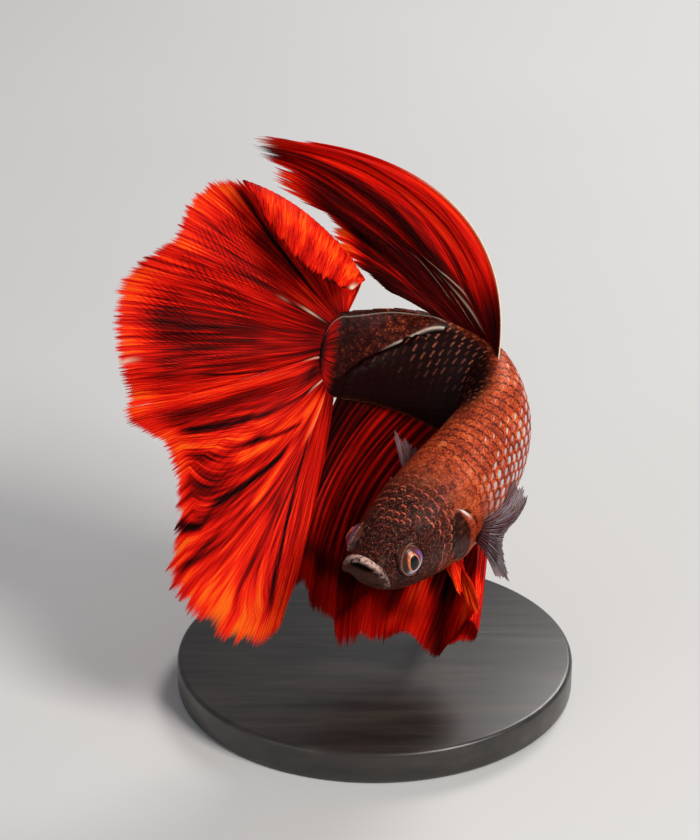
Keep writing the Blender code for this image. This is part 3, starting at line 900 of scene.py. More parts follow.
@node_group("betta markings", MARKS, Color="Color", Shine="Float", Height="Float")
def marks_and_painted_light(r, share, back, left, rear, side, edge, tone):
    """The fish's markings, which the skin and the scales share."""
    look = bpy.context.scene.betta_colours
    place = r.object_place()
    blotch = r.noise(place, 380.0, 3.0, 0.6)
    speck = r.noise(place, 3600.0, 3.0, 0.7)
    head = r.math("SUBTRACT", 1.0, r.between(share, 0.14, 0.3), clamp=True)
    right = r.between(left * -1.0, -0.15, 0.45)
    belly = r.between(back * -1.0, 0.25, 0.85)
    inner = right * r.between(share, 0.34, 0.5)
    # Fine painted highlights speckle the head's mottled skin
    bright = r.between(r.noise(place, 5200.0, 2.0, 0.6), 0.6, 0.7) * 0.6
    mottled = r.mix(r.between(speck, 0.45, 0.68), look.head_dark, look.head_brown)
    mottled = r.mix(bright, mottled, look.head_speck_highlight)
    # Each scale has a dark outline on the body, and a thin red-orange one on the head
    outline = r.math("MULTIPLY", r.between(edge, 0.85, 0.98), 0.85 - (head + inner), clamp=True)
    thin = r.between(edge, 0.93, 0.99) * r.between(speck, 0.3, 0.55) * head
    # Painted highlights: pale dashes along the scales' rear edges, in rows on the inner side
    arc = r.math("ABSOLUTE", rear - (0.74 - side * 0.12))
    aside = r.math("ABSOLUTE", side)
    dash = (1.0 - r.between(arc, 0.02, 0.1)) * (1.0 - r.between(aside, 0.45, 0.9))
    dash = dash * r.between(speck, 0.3, 0.55) * r.between(back, -0.35, 0.75)
    dash = dash * r.between(tone, -1.1, 0.6) * inner
    # Painted highlights: silver and cream glints on the outer side, wider and closer towards its
    # middle, where the same mask also makes the scales metallic and smoother
    slant = r.math("ABSOLUTE", side + (rear - 0.66) * 1.3)
    long = r.between(rear, 0.4, 0.64) * (1.0 - r.between(rear, 0.7, 0.94))
    wide = 0.12 + r.between(left, 0.6, 1.0) * 0.42 + tone * 0.1
    glint = r.between(long * wide - slant, -0.02, 0.12)
    glint = glint * r.between(share, 0.27, 0.36) * (1.0 - r.between(share, 0.6, 0.72))
    glint = glint * r.between(back, -0.6, -0.2) * r.between(left * 2.2 + tone * 0.9, 0.75, 1.7)
    glint = glint * r.between(rear, 0.36, 0.66)
    silver = r.mix(r.between(left, 0.5, 0.95), look.cream, look.silver)
    grained = r.between(speck * 1.6 + blotch * 0.7 + tone * 0.12, 0.58, 1.72)
    body = r.coats(
        r.ramp(
            grained, (0.0, look.skin_deep), (0.3, look.skin_rust),
            (0.6, look.skin_orange), (1.0, look.skin_gold),
        ),
        (belly * 0.75, look.belly),
        # painted shade over the whole side inside the bend
        (inner, look.inner_side_shade),
        (head, mottled),
        (outline, look.skin_deep),
        (thin * r.between(share, 0.04, 0.09), look.head_line),
        # painted highlights on the scales inside the bend
        (dash * 0.8, look.inner_scale_highlight),
        (glint * 0.9, r.mix(r.between(speck, 0.5, 0.7) * 0.5, silver, look.cream)),
    )
    return body, glint, speck + blotch * 0.6


@node_group("fin rays", RAYS, Warmth="Float", Solid="Float", Fine="Float")
def fin_rays(r, along, flow, fineness, comb, ray, crease, barb, tone_and_light, rim):
    """The rays' fine lines, which all fins share, and where a fin ends."""
    lines = flow * fineness
    fine = r.noise(r.vector(lines, along * 1.3, 0.0), 2.2, rough=0.7)
    bands = r.noise(r.vector(lines, along * 1.6, 7.0), 0.16, 3.0, 0.6)
    # Short dark barbs that lean away from every ray
    cell = lines * 0.36
    number = r.math("FLOOR", cell)
    slant = along * 26.0 + (cell - number) * 3.6
    uneven = r.noise(r.vector(number * 7.3, along * 5.0, 0.0), 1.0, 1.0)
    barbs = r.math("PINGPONG", slant + uneven * 2.0, 0.5)
    barbs = r.between(barbs, 0.3, 0.46) * r.between(uneven, 0.42, 0.56)
    strand = (fine - 0.52) * 1.5 + (bands - 0.5) * 0.45
    # crease paints shade in the pleats' valleys and light on their tops, and ray paints light on
    # the rays' ridges
    heat = tone_and_light + strand * comb + crease * 0.12 + (ray - 0.6) * 0.08
    solid = 1.0 - r.between(rim + (fine - 0.5) * 0.14, 0.95, 1.0)
    return heat - barb * barbs * 0.3, solid, fine


@material("betta skin")
def skin_material(r):
    look = bpy.context.scene.betta_colours
    colour, _, _ = r.effect(marks_and_painted_light(), rear=0.3, side=0.0, edge=0.3, tone=0.0)
    place = r.object_place()
    fine = r.noise(place, 4200.0, 3.0, 0.65)
    wrinkle = r.noise(place, 1500.0, 3.0, 0.6)
    both = wrinkle * 0.5 + fine * 0.5
    lip = r.mix(r.between(both, 0.44, 0.6) * 0.35, look.lip_dark, look.lip_pale)
    # painted highlight along the top of the upper lip
    lip = r.mix(r.value("crest") * r.between(both, 0.36, 0.56), lip, look.lip_pale)
    cover = r.ramp(
        wrinkle * 0.8 + fine * 0.2,
        (0.44, (0.002, 0.0015, 0.0015)), (0.53, (0.010, 0.006, 0.005)), (0.64, (0.12, 0.04, 0.022)),
    )
    rim = r.mix(r.between(both, 0.42, 0.6), (0.2, 0.03, 0.015), look.gill_rim)
    leaf = r.ramp(
        both,
        (0.4, NEARLY_BLACK), (0.52, (0.06, 0.008, 0.004)),
        (0.6, (0.24, 0.035, 0.012)), (0.68, (0.5, 0.16, 0.06)),
    )
    stripes = r.noise(r.vector(r.value("back") * 26.0, r.value("left") * 26.0, 0.0), 1.0)
    end = r.value("end") + (stripes - 0.5) * 0.7
    fin_root = r.mix(r.between(stripes, 0.4, 0.6), look.fin_dark, look.fin_red)
    colour = r.coats(
        colour,
        (r.value("lip"), lip),
        (r.value("jaw") * 0.85, look.jaw),
        (r.value("cover") * 0.9, cover),
        (r.value("cover_rim"), rim),
        (r.value("leaf"), leaf),
        # painted shade: the skin darkens towards the body's end, and the rounded end goes black
        # past the fin's red roots
        (r.between(r.value("share"), 0.88, 0.99) * 0.7, NEARLY_BLACK),
        (r.between(end, 0.12, 0.7), fin_root),
        (r.between(end, 0.64, 0.95), NEARLY_BLACK),
        # painted highlights: along the fold, at the top of the gill rims and beside the leaf's line
        (r.value("pale"), (1.0, 0.84, 0.7)),
        (r.value("lid"), look.lid),
        # painted shade in the pits
        (r.value("pit"), (0.006, 0.002, 0.002)),
    )
    wet = r.math("MULTIPLY", r.between(fine, 0.64, 0.72), 0.5 - r.value("pit"), clamp=True)
    r.finish(
        Base_Color=colour, Roughness=0.32 + fine * 0.22, Coat_Weight=wet, Coat_Roughness=0.12,
        Specular_IOR_Level=0.06, Normal=r.bump(fine * 0.5 + wrinkle, 0.6, 0.00009),
    )


@material("betta scales")
def scale_material(r):
    colour, shine, height = r.effect(marks_and_painted_light())
    r.finish(
        Base_Color=colour, Roughness=0.46 - shine * 0.18, Metallic=shine * 0.4,
        Specular_IOR_Level=0.1, Normal=r.bump(height, 0.35, 0.00005),
    )


def fin_skin(r, colours, clear=0.0):
    """A fin's thin skin over its rays. clear lets light through between the rays."""
    heat, solid, fine = r.effect(fin_rays())
    ray = r.value("ray")
    colour = r.ramp(heat, *zip((0.0, 0.2, 0.4, 0.6, 0.78, 1.0), colours))
    # painted highlights: the fins' glints and lit edges
    colour = r.mix(r.value("pale"), colour, (0.9, 0.72, 0.5))
    if clear:
        colour = r.mix(r.between(ray, 0.75, 1.0) * 0.5, colour, colours[-1])
        veil = 1.0 - clear + r.between(ray, 0.3, 0.8) * clear
        root = 1.0 - r.between(r.value("along"), 0.0, 0.25)
        solid = solid * r.math("MAXIMUM", veil, root)
    r.finish(
        Base_Color=colour, Roughness=0.4 + fine * 0.2, Specular_IOR_Level=0.02, Alpha=solid,
        Normal=r.bump(fine + ray * 0.3, 0.35, 0.00008),
    )


@material("red fins")
def red_fins(r):
    look = bpy.context.scene.betta_colours
    deep = tuple(0.35 * c for c in look.fin_red)
    dark = ((0.008, 0.001, 0.001), look.fin_dark, deep)
    fin_skin(r, (*dark, look.fin_red, look.fin_bright, look.fin_orange))


@material("clear fins")
def clear_fins(r):
    look = bpy.context.scene.betta_colours
    dark = ((0.02, 0.006, 0.005), (0.05, 0.014, 0.009), look.veil_dark)
    fin_skin(r, (*dark, (0.2, 0.09, 0.08), look.veil, look.veil_pale), clear=0.5)


@material("betta eye")
def eye_material(r):
    look = bpy.context.scene.betta_colours
    polar, spin, iris = r.values("polar", "spin", "iris")
    turned = r.vector(spin * 60.0, polar * 6.0, 0.0)
    ragged = (r.noise(turned, 1.0, 3.0) - 0.5) * 0.03
    fibres = r.noise(turned, 1.6)
    # painted light: the top of the ball is lighter, as lit from above
    ball = r.mix(r.value("high"), (0.025, 0.006, 0.005), look.eye_ball)
    copper = r.mix(r.between(fibres, 0.42, 0.66), look.iris_copper, look.iris_gold)
    colour = r.coats(
        ball,
        (r.between(iris + ragged, 0.2, 0.17), copper),
        (1.0 - r.between(polar, 0.128, 0.15), look.iris_gold),
        (r.value("violet"), (0.24, 0.1, 0.36)),
        # painted highlight: a pale blue-white crescent low on the ball
        (r.value("crescent_highlight") * r.between(polar, 0.12, 0.15), (0.66, 0.76, 0.95)),
        (1.0 - r.between(polar, 0.112, 0.12), (0.002, 0.002, 0.003)),
    )
    r.finish(
        Base_Color=colour, Roughness=0.3, Specular_IOR_Level=0.2,
        Coat_Weight=0.2, Coat_Roughness=0.05,
    )


@material("black stained wood")
def wood_material(r):
    place = r.object_place((40.0, 420.0, 420.0))
    grainy, pores = r.noise(place, 1.0, 5.0, 0.6), r.noise(place, 4.0, 2.0, 0.5)
    shades = (0.3, (0.012, 0.01, 0.009)), (0.55, (0.03, 0.024, 0.02)), (0.75, (0.055, 0.043, 0.034))
    r.finish(
        Base_Color=r.ramp(grainy, *shades), Roughness=0.3 + pores * 0.2,
        Coat_Weight=0.25, Coat_Roughness=0.2, Normal=r.bump(grainy + pores * 0.6, 0.2, 0.0001),
    )


@material("brushed steel")
def steel_material(r):
    lines = r.noise(r.object_place((300.0, 300.0, 9000.0)), 1.0, 3.0, 0.6)
    r.finish(
        Base_Color=r.ramp(lines, (0.35, (0.36, 0.36, 0.37)), (0.65, (0.6, 0.6, 0.6))),
        Roughness=0.22 + lines * 0.2, Metallic=1.0, Normal=r.bump(lines, 0.15, 0.00003),
    )


@material("pale floor")
def floor_material(r):
    cloud = r.noise(r.object_place(), 6.0, 3.0)
    colour = r.ramp(cloud, (0.3, (0.66, 0.655, 0.645)), (0.7, (0.7, 0.695, 0.685)))
    r.finish(Base_Color=colour, Roughness=0.75)


# ---------------------------------------------------------------- pieces


FLESH = (
    "head", "lip_upper", "jaw_lower", "gill_cover_left", "gill_cover_right",
    "trunk_front", "trunk_middle", "trunk_rear", "peduncle",
)


def facing(turn):
    """How far these places face the back and the left."""
    return {"back": np.cos(np.radians(turn)), "left": np.sin(np.radians(turn))}


def skin_piece():
    """One skin over the whole body, with the lips, lids, nostrils and gill covers in it."""
    surface = body_surface()
    places = surface.places
    rows, columns = places.shape[:2]
    points = np.concatenate((places.reshape(-1, 3), [places[0].mean(0)], [places[-1].mean(0)]))
    i, j = np.divmod(np.arange((rows - 1) * columns), columns)
    height, ring = np.linspace(0.02, 0.98, rows), np.arange(columns)
    unwrap = []
    for corners in (
        [(height[i + a], j + b) for a, b in ((0, 0), (0, 1), (1, 1), (1, 0))],
        [(0.02, ring + 1), (0.02, ring), (0.01, ring + 0.5)],
        [(0.98, ring), (0.98, ring + 1), (0.99, ring + 0.5)],
    ):
        spots = [np.column_stack(np.broadcast_arrays(u, v / columns)) for u, v in corners]
        unwrap.append(np.stack(spots, axis=1).reshape(-1, 2))
    share, turn = surface.share, surface.turn
    close = surface.shares < HEAD_END
    near = places[close].reshape(-1, 3)
    forms = {word: np.zeros(share.shape) for word in ("lip", "jaw", "lid", "pit", "crest")}
    for word, form in forms.items():
        form[close] = getattr(surface.forms, f"{word}_share")(near).reshape(-1, columns)
    inside, along, behind, before = gill_cover(share, turn)
    rim = inside * ease(along, 0.76, 0.86) * ease(np.abs(turn), 60, 70)
    # tip: a painted highlight at the top of each gill cover's rim
    tip = inside * ease(along, 0.84, 0.94) * ease(along, 0.8, 0.95) * hump(np.abs(turn), 66, 9)
    pale = 1.4 * fold_edge(share, turn) + tip + 0.28 * vein_line(share, turn, -18)
    # pits: painted shade in the mouth's slit, the nostrils, the grooves round the gill covers and
    # along the leaf's line
    pits = forms["pit"] + 0.8 * behind + 0.3 * before + vein_line(share, turn, -15)
    values = {
        **forms, **facing(turn), "share": share, "leaf": leaf_share(share, turn),
        "jaw": forms["jaw"] * (1 - forms["lip"]), "pit": np.clip(pits, 0, 1), "end": surface.end,
        "cover": inside * (1 - rim), "cover_rim": rim, "pale": np.clip(pale, 0, 1),
    }
    values = {word: np.append(v.ravel(), (v[0, 0], v[-1, 0])) for word, v in values.items()}
    make_piece(
        "skin", points, capped_faces(rows, columns), skin_material(), FLESH,
        values, np.concatenate(unwrap),
    )


def scale_roots():
    """Where each scale grows: share and turn, in rows that step by half a scale."""
    rows = np.arange(0.05, 0.97, SCALE_STEP)
    found = []
    for number, share in enumerate(rows):
        turns = (np.arange(SCALES_ROUND) + 0.5 * (number % 2)) * SCALE_ARC - 180.0
        turns = np.where(turns > 180, turns - 360, turns)
        found.append(np.column_stack((np.full(SCALES_ROUND, share), turns)))
    share, turn = np.concatenate(found).T
    loose = 1 - ease(share, 0.2, 0.32)
    share = share + loose * SCALE_STEP * 0.5 * (chance(len(share), 7) - 0.5)
    turn = turn + loose * SCALE_ARC * 0.4 * (chance(len(share), 8) - 0.5)
    found = np.column_stack((share, turn))
    around = np.abs(turn)
    inside, _, behind, _ = gill_cover(share, turn)
    places, _ = body_surface().sample(share, turn)
    clear = np.min([np.linalg.norm(places - eye_centre(side), axis=1) for side in (1, -1)], axis=0)
    keep = (inside < 0.05) & (behind < 0.3) & (clear > EYE_CLEARANCE)
    for bare_share, bare_angle in BARE:
        keep &= (share >= bare_share) | (around <= bare_angle)
    keep &= (turn > 8) | (leaf_share(share + 0.016, np.minimum(turn + 4, 0)) < 0.3)
    return found[keep]


def scale_grid():
    """One scale's grid from root to rear and across, its width there, and how near its edge."""
    lengthwise = np.array((0.0, 0.25, 0.42, 0.56, 0.68, 0.79, 0.88, 0.95, 1.0))
    sideways = np.array((-1.0, -0.74, -0.4, 0.0, 0.4, 0.74, 1.0))
    u, v = np.meshgrid(lengthwise, sideways, indexing="ij")
    rounded = np.sqrt(np.maximum(1 - ((u - 0.5) / 0.56) ** 2, 0.04))
    edge = np.maximum(np.abs(v) * 0.98, ease(u, 0.25, 1.0))
    edge = np.maximum(edge, np.hypot(v, np.maximum(u - 0.5, 0) * 2) / 1.15).clip(0, 1)
    return u, v, np.where(u < 0.5, 0.8 + 0.4 * u, rounded), edge


def scale_points(roots, u, v, width, ring):
    """Each scale's places: its domed top, the rim turned under it and that rim's middle."""
    count = len(roots)
    loose = (1 - ease(roots[:, 0], 0.2, 0.32)) * 0.3
    large = (1 + loose * (chance(count, 9) - 0.5))[:, None, None]
    share = roots[:, 0, None, None] + SCALE_LENGTH * large * (u - 0.25)
    turn = roots[:, 1, None, None] + SCALE_ARC * 0.6 * large * width * v
    places, normals = body_surface().sample(np.clip(share, 0, 0.999), turn)
    raised = (ease(roots[:, 0], 0.18, 0.36) * 0.6 + 0.4)[:, None, None]
    dome = 0.055 * (1 - v**2) * np.sin(math.pi * u**0.8)
    high = raised * (dome - 0.03 + (coat_depth() + 0.02) * u)
    top = places + normals * high[..., None]
    middle = top[:, u.shape[0] // 2, u.shape[1] // 2][:, None]
    top = top.reshape(count, u.size, 3)
    out = normals.reshape(count, u.size, 3)[:, ring]
    rim = top[:, ring]
    under = rim + (middle - rim) * 0.08 - out * 0.05 * raised
    return np.concatenate((top, under, under.mean(axis=1, keepdims=True)), axis=1)


def scale_pieces():
    """The scales, each a thin domed plate with its rear edge free, as three joined meshes."""
    roots = scale_roots()
    tones = chance(len(roots), 5) * 2 - 1
    u, v, width, edge = scale_grid()
    at = np.arange(u.size).reshape(u.shape)
    ring = np.concatenate((at[0], at[1:, -1], at[-1, -2::-1], at[-2:0:-1, 0]))
    points = scale_points(roots, u, v, width, ring)
    around = len(ring)
    near = u.size + np.arange(around)
    after = np.roll(near, -1)
    groups = (
        grid_quads(*u.shape)[:, ::-1],
        np.column_stack((ring, near, after, np.roll(ring, -1))),
        np.column_stack((after, near, np.full(around, u.size + around))),
    )
    per = points.shape[1]
    u, v = u.ravel(), v.ravel()
    one = {
        "rear": np.concatenate((u, u[ring], [0.5])),
        "side": np.concatenate((v, v[ring], [0.0])),
        "edge": np.concatenate((edge.ravel(), np.ones(around), [0.5])),
    }
    local = np.column_stack((u, v / 2 + 0.5))
    local = np.concatenate((local, local[ring], [[0.5, 0.5]]))
    behind, left = roots[:, 0] >= 0.3, roots[:, 1] >= 0
    for word, chosen in (("head", ~behind), ("left", behind & left), ("right", behind & ~left)):
        number = int(chosen.sum())
        first = (np.arange(number) * per)[:, None, None]
        faces = [(group[None] + first).reshape(-1, group.shape[1]) for group in groups]
        share, turn = np.repeat(roots[chosen], per, axis=0).T
        centre = np.column_stack((0.02 + 0.96 * share, turn / 360.0 + 0.5))
        spots = centre + (np.tile(local, (number, 1)) - 0.5) * SCALE_PATCH
        corners = np.concatenate([group.ravel() for group in faces])
        values = {"share": share, "tone": np.repeat(tones[chosen], per), **facing(turn)}
        values.update((name, np.tile(numbers, number)) for name, numbers in one.items())
        make_piece(
            f"scales_{word}", points[chosen].reshape(-1, 3), faces, scale_material(), (),
            values, spots[corners], sharp=50,
        )


def eye_pieces():
    """The eyeballs, with a domed pupil, a dished iris and a rim, all under a wet film."""
    polar = np.radians(np.concatenate((np.linspace(1, 60, 60), np.linspace(63, 178, 44))))
    spin = np.arange(96) * 2 * math.pi / 96
    p, s = np.meshgrid(polar, spin, indexing="ij")
    degrees = np.degrees(p)
    radius = 0.985 + 0.012 * hump(degrees, 0, 22) - 0.02 * hump(degrees, 38, 10)
    radius = EYE_RADIUS * (radius + 0.012 * ease(degrees, 50, 56))
    turned = np.stack((np.cos(p), np.sin(p) * np.cos(s), np.sin(p) * np.sin(s)), axis=-1)
    oval = degrees * np.sqrt((np.cos(s) / 0.86) ** 2 + (np.sin(s) / 1.4) ** 2)
    tips = {"polar": (0, 1), "iris": (0, 1)}
    for side, word in ((1, "left"), (-1, "right")):
        centre = eye_centre(side)
        axis = head_way(EYE_GAZES[side])
        across = unit(np.cross(axis, head_way((0, 0, 1))))
        upward = np.cross(across, axis)
        ways = turned @ np.array((axis, across, upward))
        points = (centre + ways * radius[..., None]).reshape(-1, 3)
        ends = [centre + axis * EYE_RADIUS * 0.997], [centre - axis * EYE_RADIUS]
        ahead = (degrees * np.cos(s) * side - IRIS_SHIFT[0]) / IRIS_OVAL[0]
        over = (degrees * np.sin(s) - IRIS_SHIFT[1]) / IRIS_OVAL[1]
        # low: where the painted highlight crescent lies
        low = hump(np.sin(s) * 0.9 + np.cos(s) * 0.4 * side, -1, 0.35)
        behind = hump(-np.cos(s) * side, 1, 0.45)
        values = {
            "polar": oval / 180, "spin": s / (2 * math.pi), "iris": np.hypot(ahead, over) / 180,
            "crescent_highlight": low * band(degrees, 24, 32, 50, 58),
            "violet": behind * hump(degrees, 42, 9) + (side < 0) * 0.6 * hump(degrees, 50, 5),
            # the ball's top is painted lighter, as lit from above
            "high": ease(ways @ head_way((0, 0, 1)), -0.3, 0.9),
        }
        values = {word: np.append(v.ravel(), tips.get(word, (0, 0))) for word, v in values.items()}
        make_piece(
            f"eyeball_{word}", np.concatenate((points, *ends)), capped_faces(*p.shape),
            eye_material(), (f"eye_{word}",), values,
        )


def roots_between(start, end):
    """Roots under the skin, on a line from one share and angle to another."""
    start, end = np.array(start), np.array(end)
    return lambda order: body_points(*(start + (end - start) * order), -ROOT_DEPTH)


def tail_roots(place):
    """Roots round the end of the body, from its top to its bottom."""
    spine, back, _, up = body_frames(1.0)
    size = read(SECTIONS, 1.0)
    turn = math.pi * place
    height = (size[1] if place < 0.5 else size[2]) - 0.5
    return spine + back * ((TAIL_ROUND - 0.5) * math.sin(turn) - 0.3) + up * height * math.cos(turn)


def guided(roots, rays):
    """A fin's smooth surface over across and along, led by its guide rays."""
    order = np.linspace(0, 1, len(rays))
    pulls = np.array([(tuple(roots(p)), *ray) for p, ray in zip(order, rays)], float)
    table = np.column_stack((order, pulls.reshape(len(rays), -1)))

    def place(across, along):
        return pulled(read(table, across).reshape(*across.shape, *pulls.shape[1:]), along)

    return place


def streaks(table, across, along):
    """Markings that run with the rays: across and along at the start and the end, widths, power."""
    total = np.zeros(across.shape)
    for a, b, c, d, wide, narrow, power in table:
        t = np.clip((along - b) / (d - b), 0, 1)
        line = hump(across, a + (c - a) * t, wide + (narrow - wide) * t)
        total += power * line * band(along, b - 0.07, b + 0.04, d - 0.05, d + 0.07)
    return total


def leaned(table, across, along):
    """Where a ray that is at across started: rays lean as the table tells, from root to edge."""
    ends = np.array(table)
    start = np.interp(across, ends[:, 1], ends[:, 0])
    return across + (start - across) * np.clip((along - 0.15) / 0.75, 0, 1)


def ray_columns(tip, bundles, tips, level, spread):
    """How far across the fin each column runs. A bundle of rays is narrow at its root."""
    bundle = np.minimum((tip / tips).astype(int), bundles - 1)
    inner = (tip - bundle * tips) / tips * 2 - 1
    narrow = spread + (1 - spread) * ease(level, 0.0, 0.8)
    bound = 1 - 1.0 / tips
    held = np.abs(inner)[:, None]
    outside = bound * narrow + (1 - bound * narrow) * (held - bound) / (1 - bound)
    offset = np.where(held <= bound, held * narrow, outside) * np.sign(inner)[:, None]
    return np.clip((bundle[:, None] + 0.5 + 0.5 * offset) / bundles, 0, 1)


def ray_heights(phase, valley, tips, level, jitter):
    """1 on a ray and 0 in an open valley. The valleys open where the rays branch."""
    opening = np.full(len(phase), 0.62)
    for apart, start in ((tips // 4, 0.42), (tips // 2, 0.22), (tips, -0.3)):
        opening[valley % max(apart, 1) == 0] = start
    deep = ease(level[None], opening[:, None] + 0.1 * jitter[:, None], opening[:, None] + 0.28)
    height = np.where(phase[:, None] == 0, 1 - deep, 1.0)
    left, right = np.roll(height, 1, axis=0), np.roll(height, -1, axis=0)
    return np.where(phase[:, None] % 2 == 1, 0.25 + 0.75 * np.minimum(left, right) * 0.9, height)


def edge_cuts(phase, torn, jitter, across, seed, notch, fringe, tears):
    """How much of each column the notches, the fringe and the tears take."""
    slow, quick = wander(seed, across * 9 + seed), wander(seed + 4, across * 41 + seed)
    tear = np.where(torn & (chance(len(phase), seed + 3) < 0.4), 1.0, 0.0)
    for _ in range(3):
        tear = np.maximum(tear, 0.6 * np.maximum(np.roll(tear, 1), np.roll(tear, -1)))
    teeth = jitter * 0.6 + np.array((1.0, 0.35, 0.0, 0.35))[phase]
    return notch * (1 + slow + 0.5 * quick) / 2 + fringe * teeth + tears * tear


def pleats(flow, along, folds, depth, seed):
    """The sheet's folds at their full height, and as they rise and crumple towards its edge."""
    wave = np.sin(2 * math.pi * folds * flow) * depth
    lump = flow * folds * 4.3 + seed
    second = wander(seed + 0.5, lump, along * 1.6)
    third = wander(seed + 0.9, lump * 2.3, along * 1.6 * 1.7)
    crumple = wander(seed + 2.0, flow * folds * 3, along * 9)
    pleat = wave + 0.55 * depth * second + 0.3 * depth * third
    return pleat, pleat * along**1.2 + 0.32 * depth * crumple * along**3


def fin_piece(name, node, place, bundles, tips, rows, span=(0.0, 1.0), *, folds, depth, notch,
              seed, fineness, marks, fringe=0.012, tears=0.0, thick=0.06, ridge=0.05, spread=0.35,
              lean=((0.0, 0.0), (1.0, 1.0)), reach=1.015, finish=red_fins):
    """A fin as a closed thin sheet with branching rays, pleats and a fringed edge.

    place gives the smooth fin at across and along, both from 0 to 1. The grid's columns follow
    the rays, in bundles of tips: each tip has a valley, two shoulders and a ridge. folds and
    depth pleat the sheet, and notch, fringe and tears cut its edge.
    """
    step = np.arange(bundles * tips * 4 + 1)
    phase, valley = step % 4, np.round(step / 4.0).astype(int)
    jitter = np.repeat(chance(len(step) // 4 + 1, seed), 4)[: len(step)]
    level = np.linspace(0, 1, rows)
    across = ray_columns(step / 4.0, bundles, tips, level, spread)
    across = span[0] + (span[1] - span[0]) * across
    height = ray_heights(phase, valley, tips, level, jitter)
    mean = across.mean(axis=1)
    short = edge_cuts(phase, valley % tips == 0, jitter, mean, seed, notch, fringe, tears)
    along = level[None] * (reach - short[:, None] * level[None] ** 5)
    smooth = place(across, along)
    flow = leaned(lean, across, along)
    pleat, shift = pleats(flow, along, folds, depth, seed)
    middle = smooth + grid_normals(smooth) * shift[..., None]
    half = (thick + ridge * height) * (1 - 0.6 * ease(level, 0.8, 1.0)[None])
    points, faces, spots = sheet_mesh(middle, grid_normals(middle), half)
    values = {
        "along": along, "flow": flow, "ray": height, "crease": pleat / depth * 0.6, "rim": level,
        "fineness": fineness, "pale": 0.0, "barb": 0.0, "comb": 1.0, **marks(across, along),
    }
    whole = np.ones(across.shape)
    values = {word: np.tile((v * whole).ravel(), 2) for word, v in values.items()}
    make_piece(name, points, (faces,), finish(), (node,), values, spots)


def dorsal_marks(across, along):
    # lead is a painted highlight along the leading edge; the front is painted light and the rear
    # painted shade, the streaks are painted shade and light and the glints painted highlights,
    # while the orange edge is the fin's own colour
    lead = 1 - ease(across, 0.004, 0.018)
    border = 0.31 - 0.17 * along
    tone_and_light = 0.2 + 0.46 * (1 - ease(across, border - 0.03, border + 0.03)) * ease(along, 0.1, 0.3)
    tone_and_light = tone_and_light + streaks(DORSAL_STREAKS, across, along)
    tone_and_light = tone_and_light + 0.5 * ease(along, 0.8, 0.93) * band(across, 0.2, 0.34, 0.8, 0.95)
    tone_and_light = tone_and_light + 0.15 * ease(along, 0.88, 0.98)
    pale = lead * (1 - ease(along, 0.45, 0.75)) + streaks(DORSAL_GLINTS, across, along)
    comb = 0.45 + 0.5 * ease(across, border - 0.03, border + 0.03)
    return {"pale": np.clip(pale, 0, 1), "tone_and_light": tone_and_light, "comb": comb}


def dorsal_piece():
    fin_piece(
        "dorsal", "dorsal_fin", guided(roots_between(*DORSAL_ROOTS), DORSAL_RAYS), 13, 8, 96,
        folds=4, depth=0.75, notch=0.05, seed=3, marks=dorsal_marks, tears=0.05, fineness=60.0,
        lean=DORSAL_LEAN,
    )


def tail_marks(across, along):
    # The streaks are painted shade in the folds and painted light on their tops and the glints
    # painted highlights; the orange edge is the fin's own colour, and the root is darker
    heat = 0.56 + streaks(TAIL_STREAKS, across, along)
    heat = heat + 0.24 * ease(along, 0.74, 0.97) - 0.2 * (1 - ease(along, 0.0, 0.2))
    pale = np.clip(streaks(TAIL_GLINTS, across, along), 0, 1)
    barb = hump(across, 0.32, 0.2) * band(along, 0.3, 0.45, 0.8, 0.95)
    return {"pale": pale, "tone_and_light": heat, "barb": barb}


def tail_pieces():
    place = guided(tail_roots, TAIL_RAYS)
    for word, span, seed in (("upper", (0, TAIL_SPLIT), 11), ("lower", (TAIL_SPLIT, 1), 17)):
        fin_piece(
            f"tail_{word}", f"tail_fin_{word}", place, 11, 8, 84, span, folds=6, depth=0.75,
            notch=0.03, seed=seed, marks=tail_marks, fineness=125.0, lean=TAIL_LEAN,
        )
    curl_piece()


def curl_piece():
    """The top of the tail fin, folded over towards the front."""
    shape = np.array((CURL_FOLD, CURL_EDGE), float)

    def place(across, along):
        size = (*across.shape, 3, 3)
        start, end = (pulled(np.broadcast_to(line, size), across) for line in shape)
        swell = 2.2 * np.sin(math.pi * np.minimum(across + 0.12, 1))
        out = np.array((0.1, -1.0, 0.2)) * swell[..., None]
        return pulled(np.stack((start, (start + end) / 2 + out, end), axis=-2), along)

    def marks(across, along):
        # Painted light along the fold and a painted highlight at the ribbon's far end; darker
        # towards the serrated edge and at the near end
        edge = ease(along + 0.06 * wander(9.0, across * 60), 0.84, 0.97)
        heat = 0.7 + 0.14 * band(along, 0.0, 0.3, 0.3, 0.6) - 0.65 * edge
        heat = heat - 0.35 * (1 - ease(across, 0.0, 0.16))
        pale = ease(across, 0.95, 0.99) * ease(along, 0.4, 0.9)
        return {"pale": pale, "tone_and_light": heat, "comb": 0.8}

    fin_piece(
        "tail_curl", "tail_fin_curl", place, 22, 4, 48, folds=7, depth=0.22, notch=0.03,
        fringe=0.09, seed=23, marks=marks, fineness=60.0,
    )


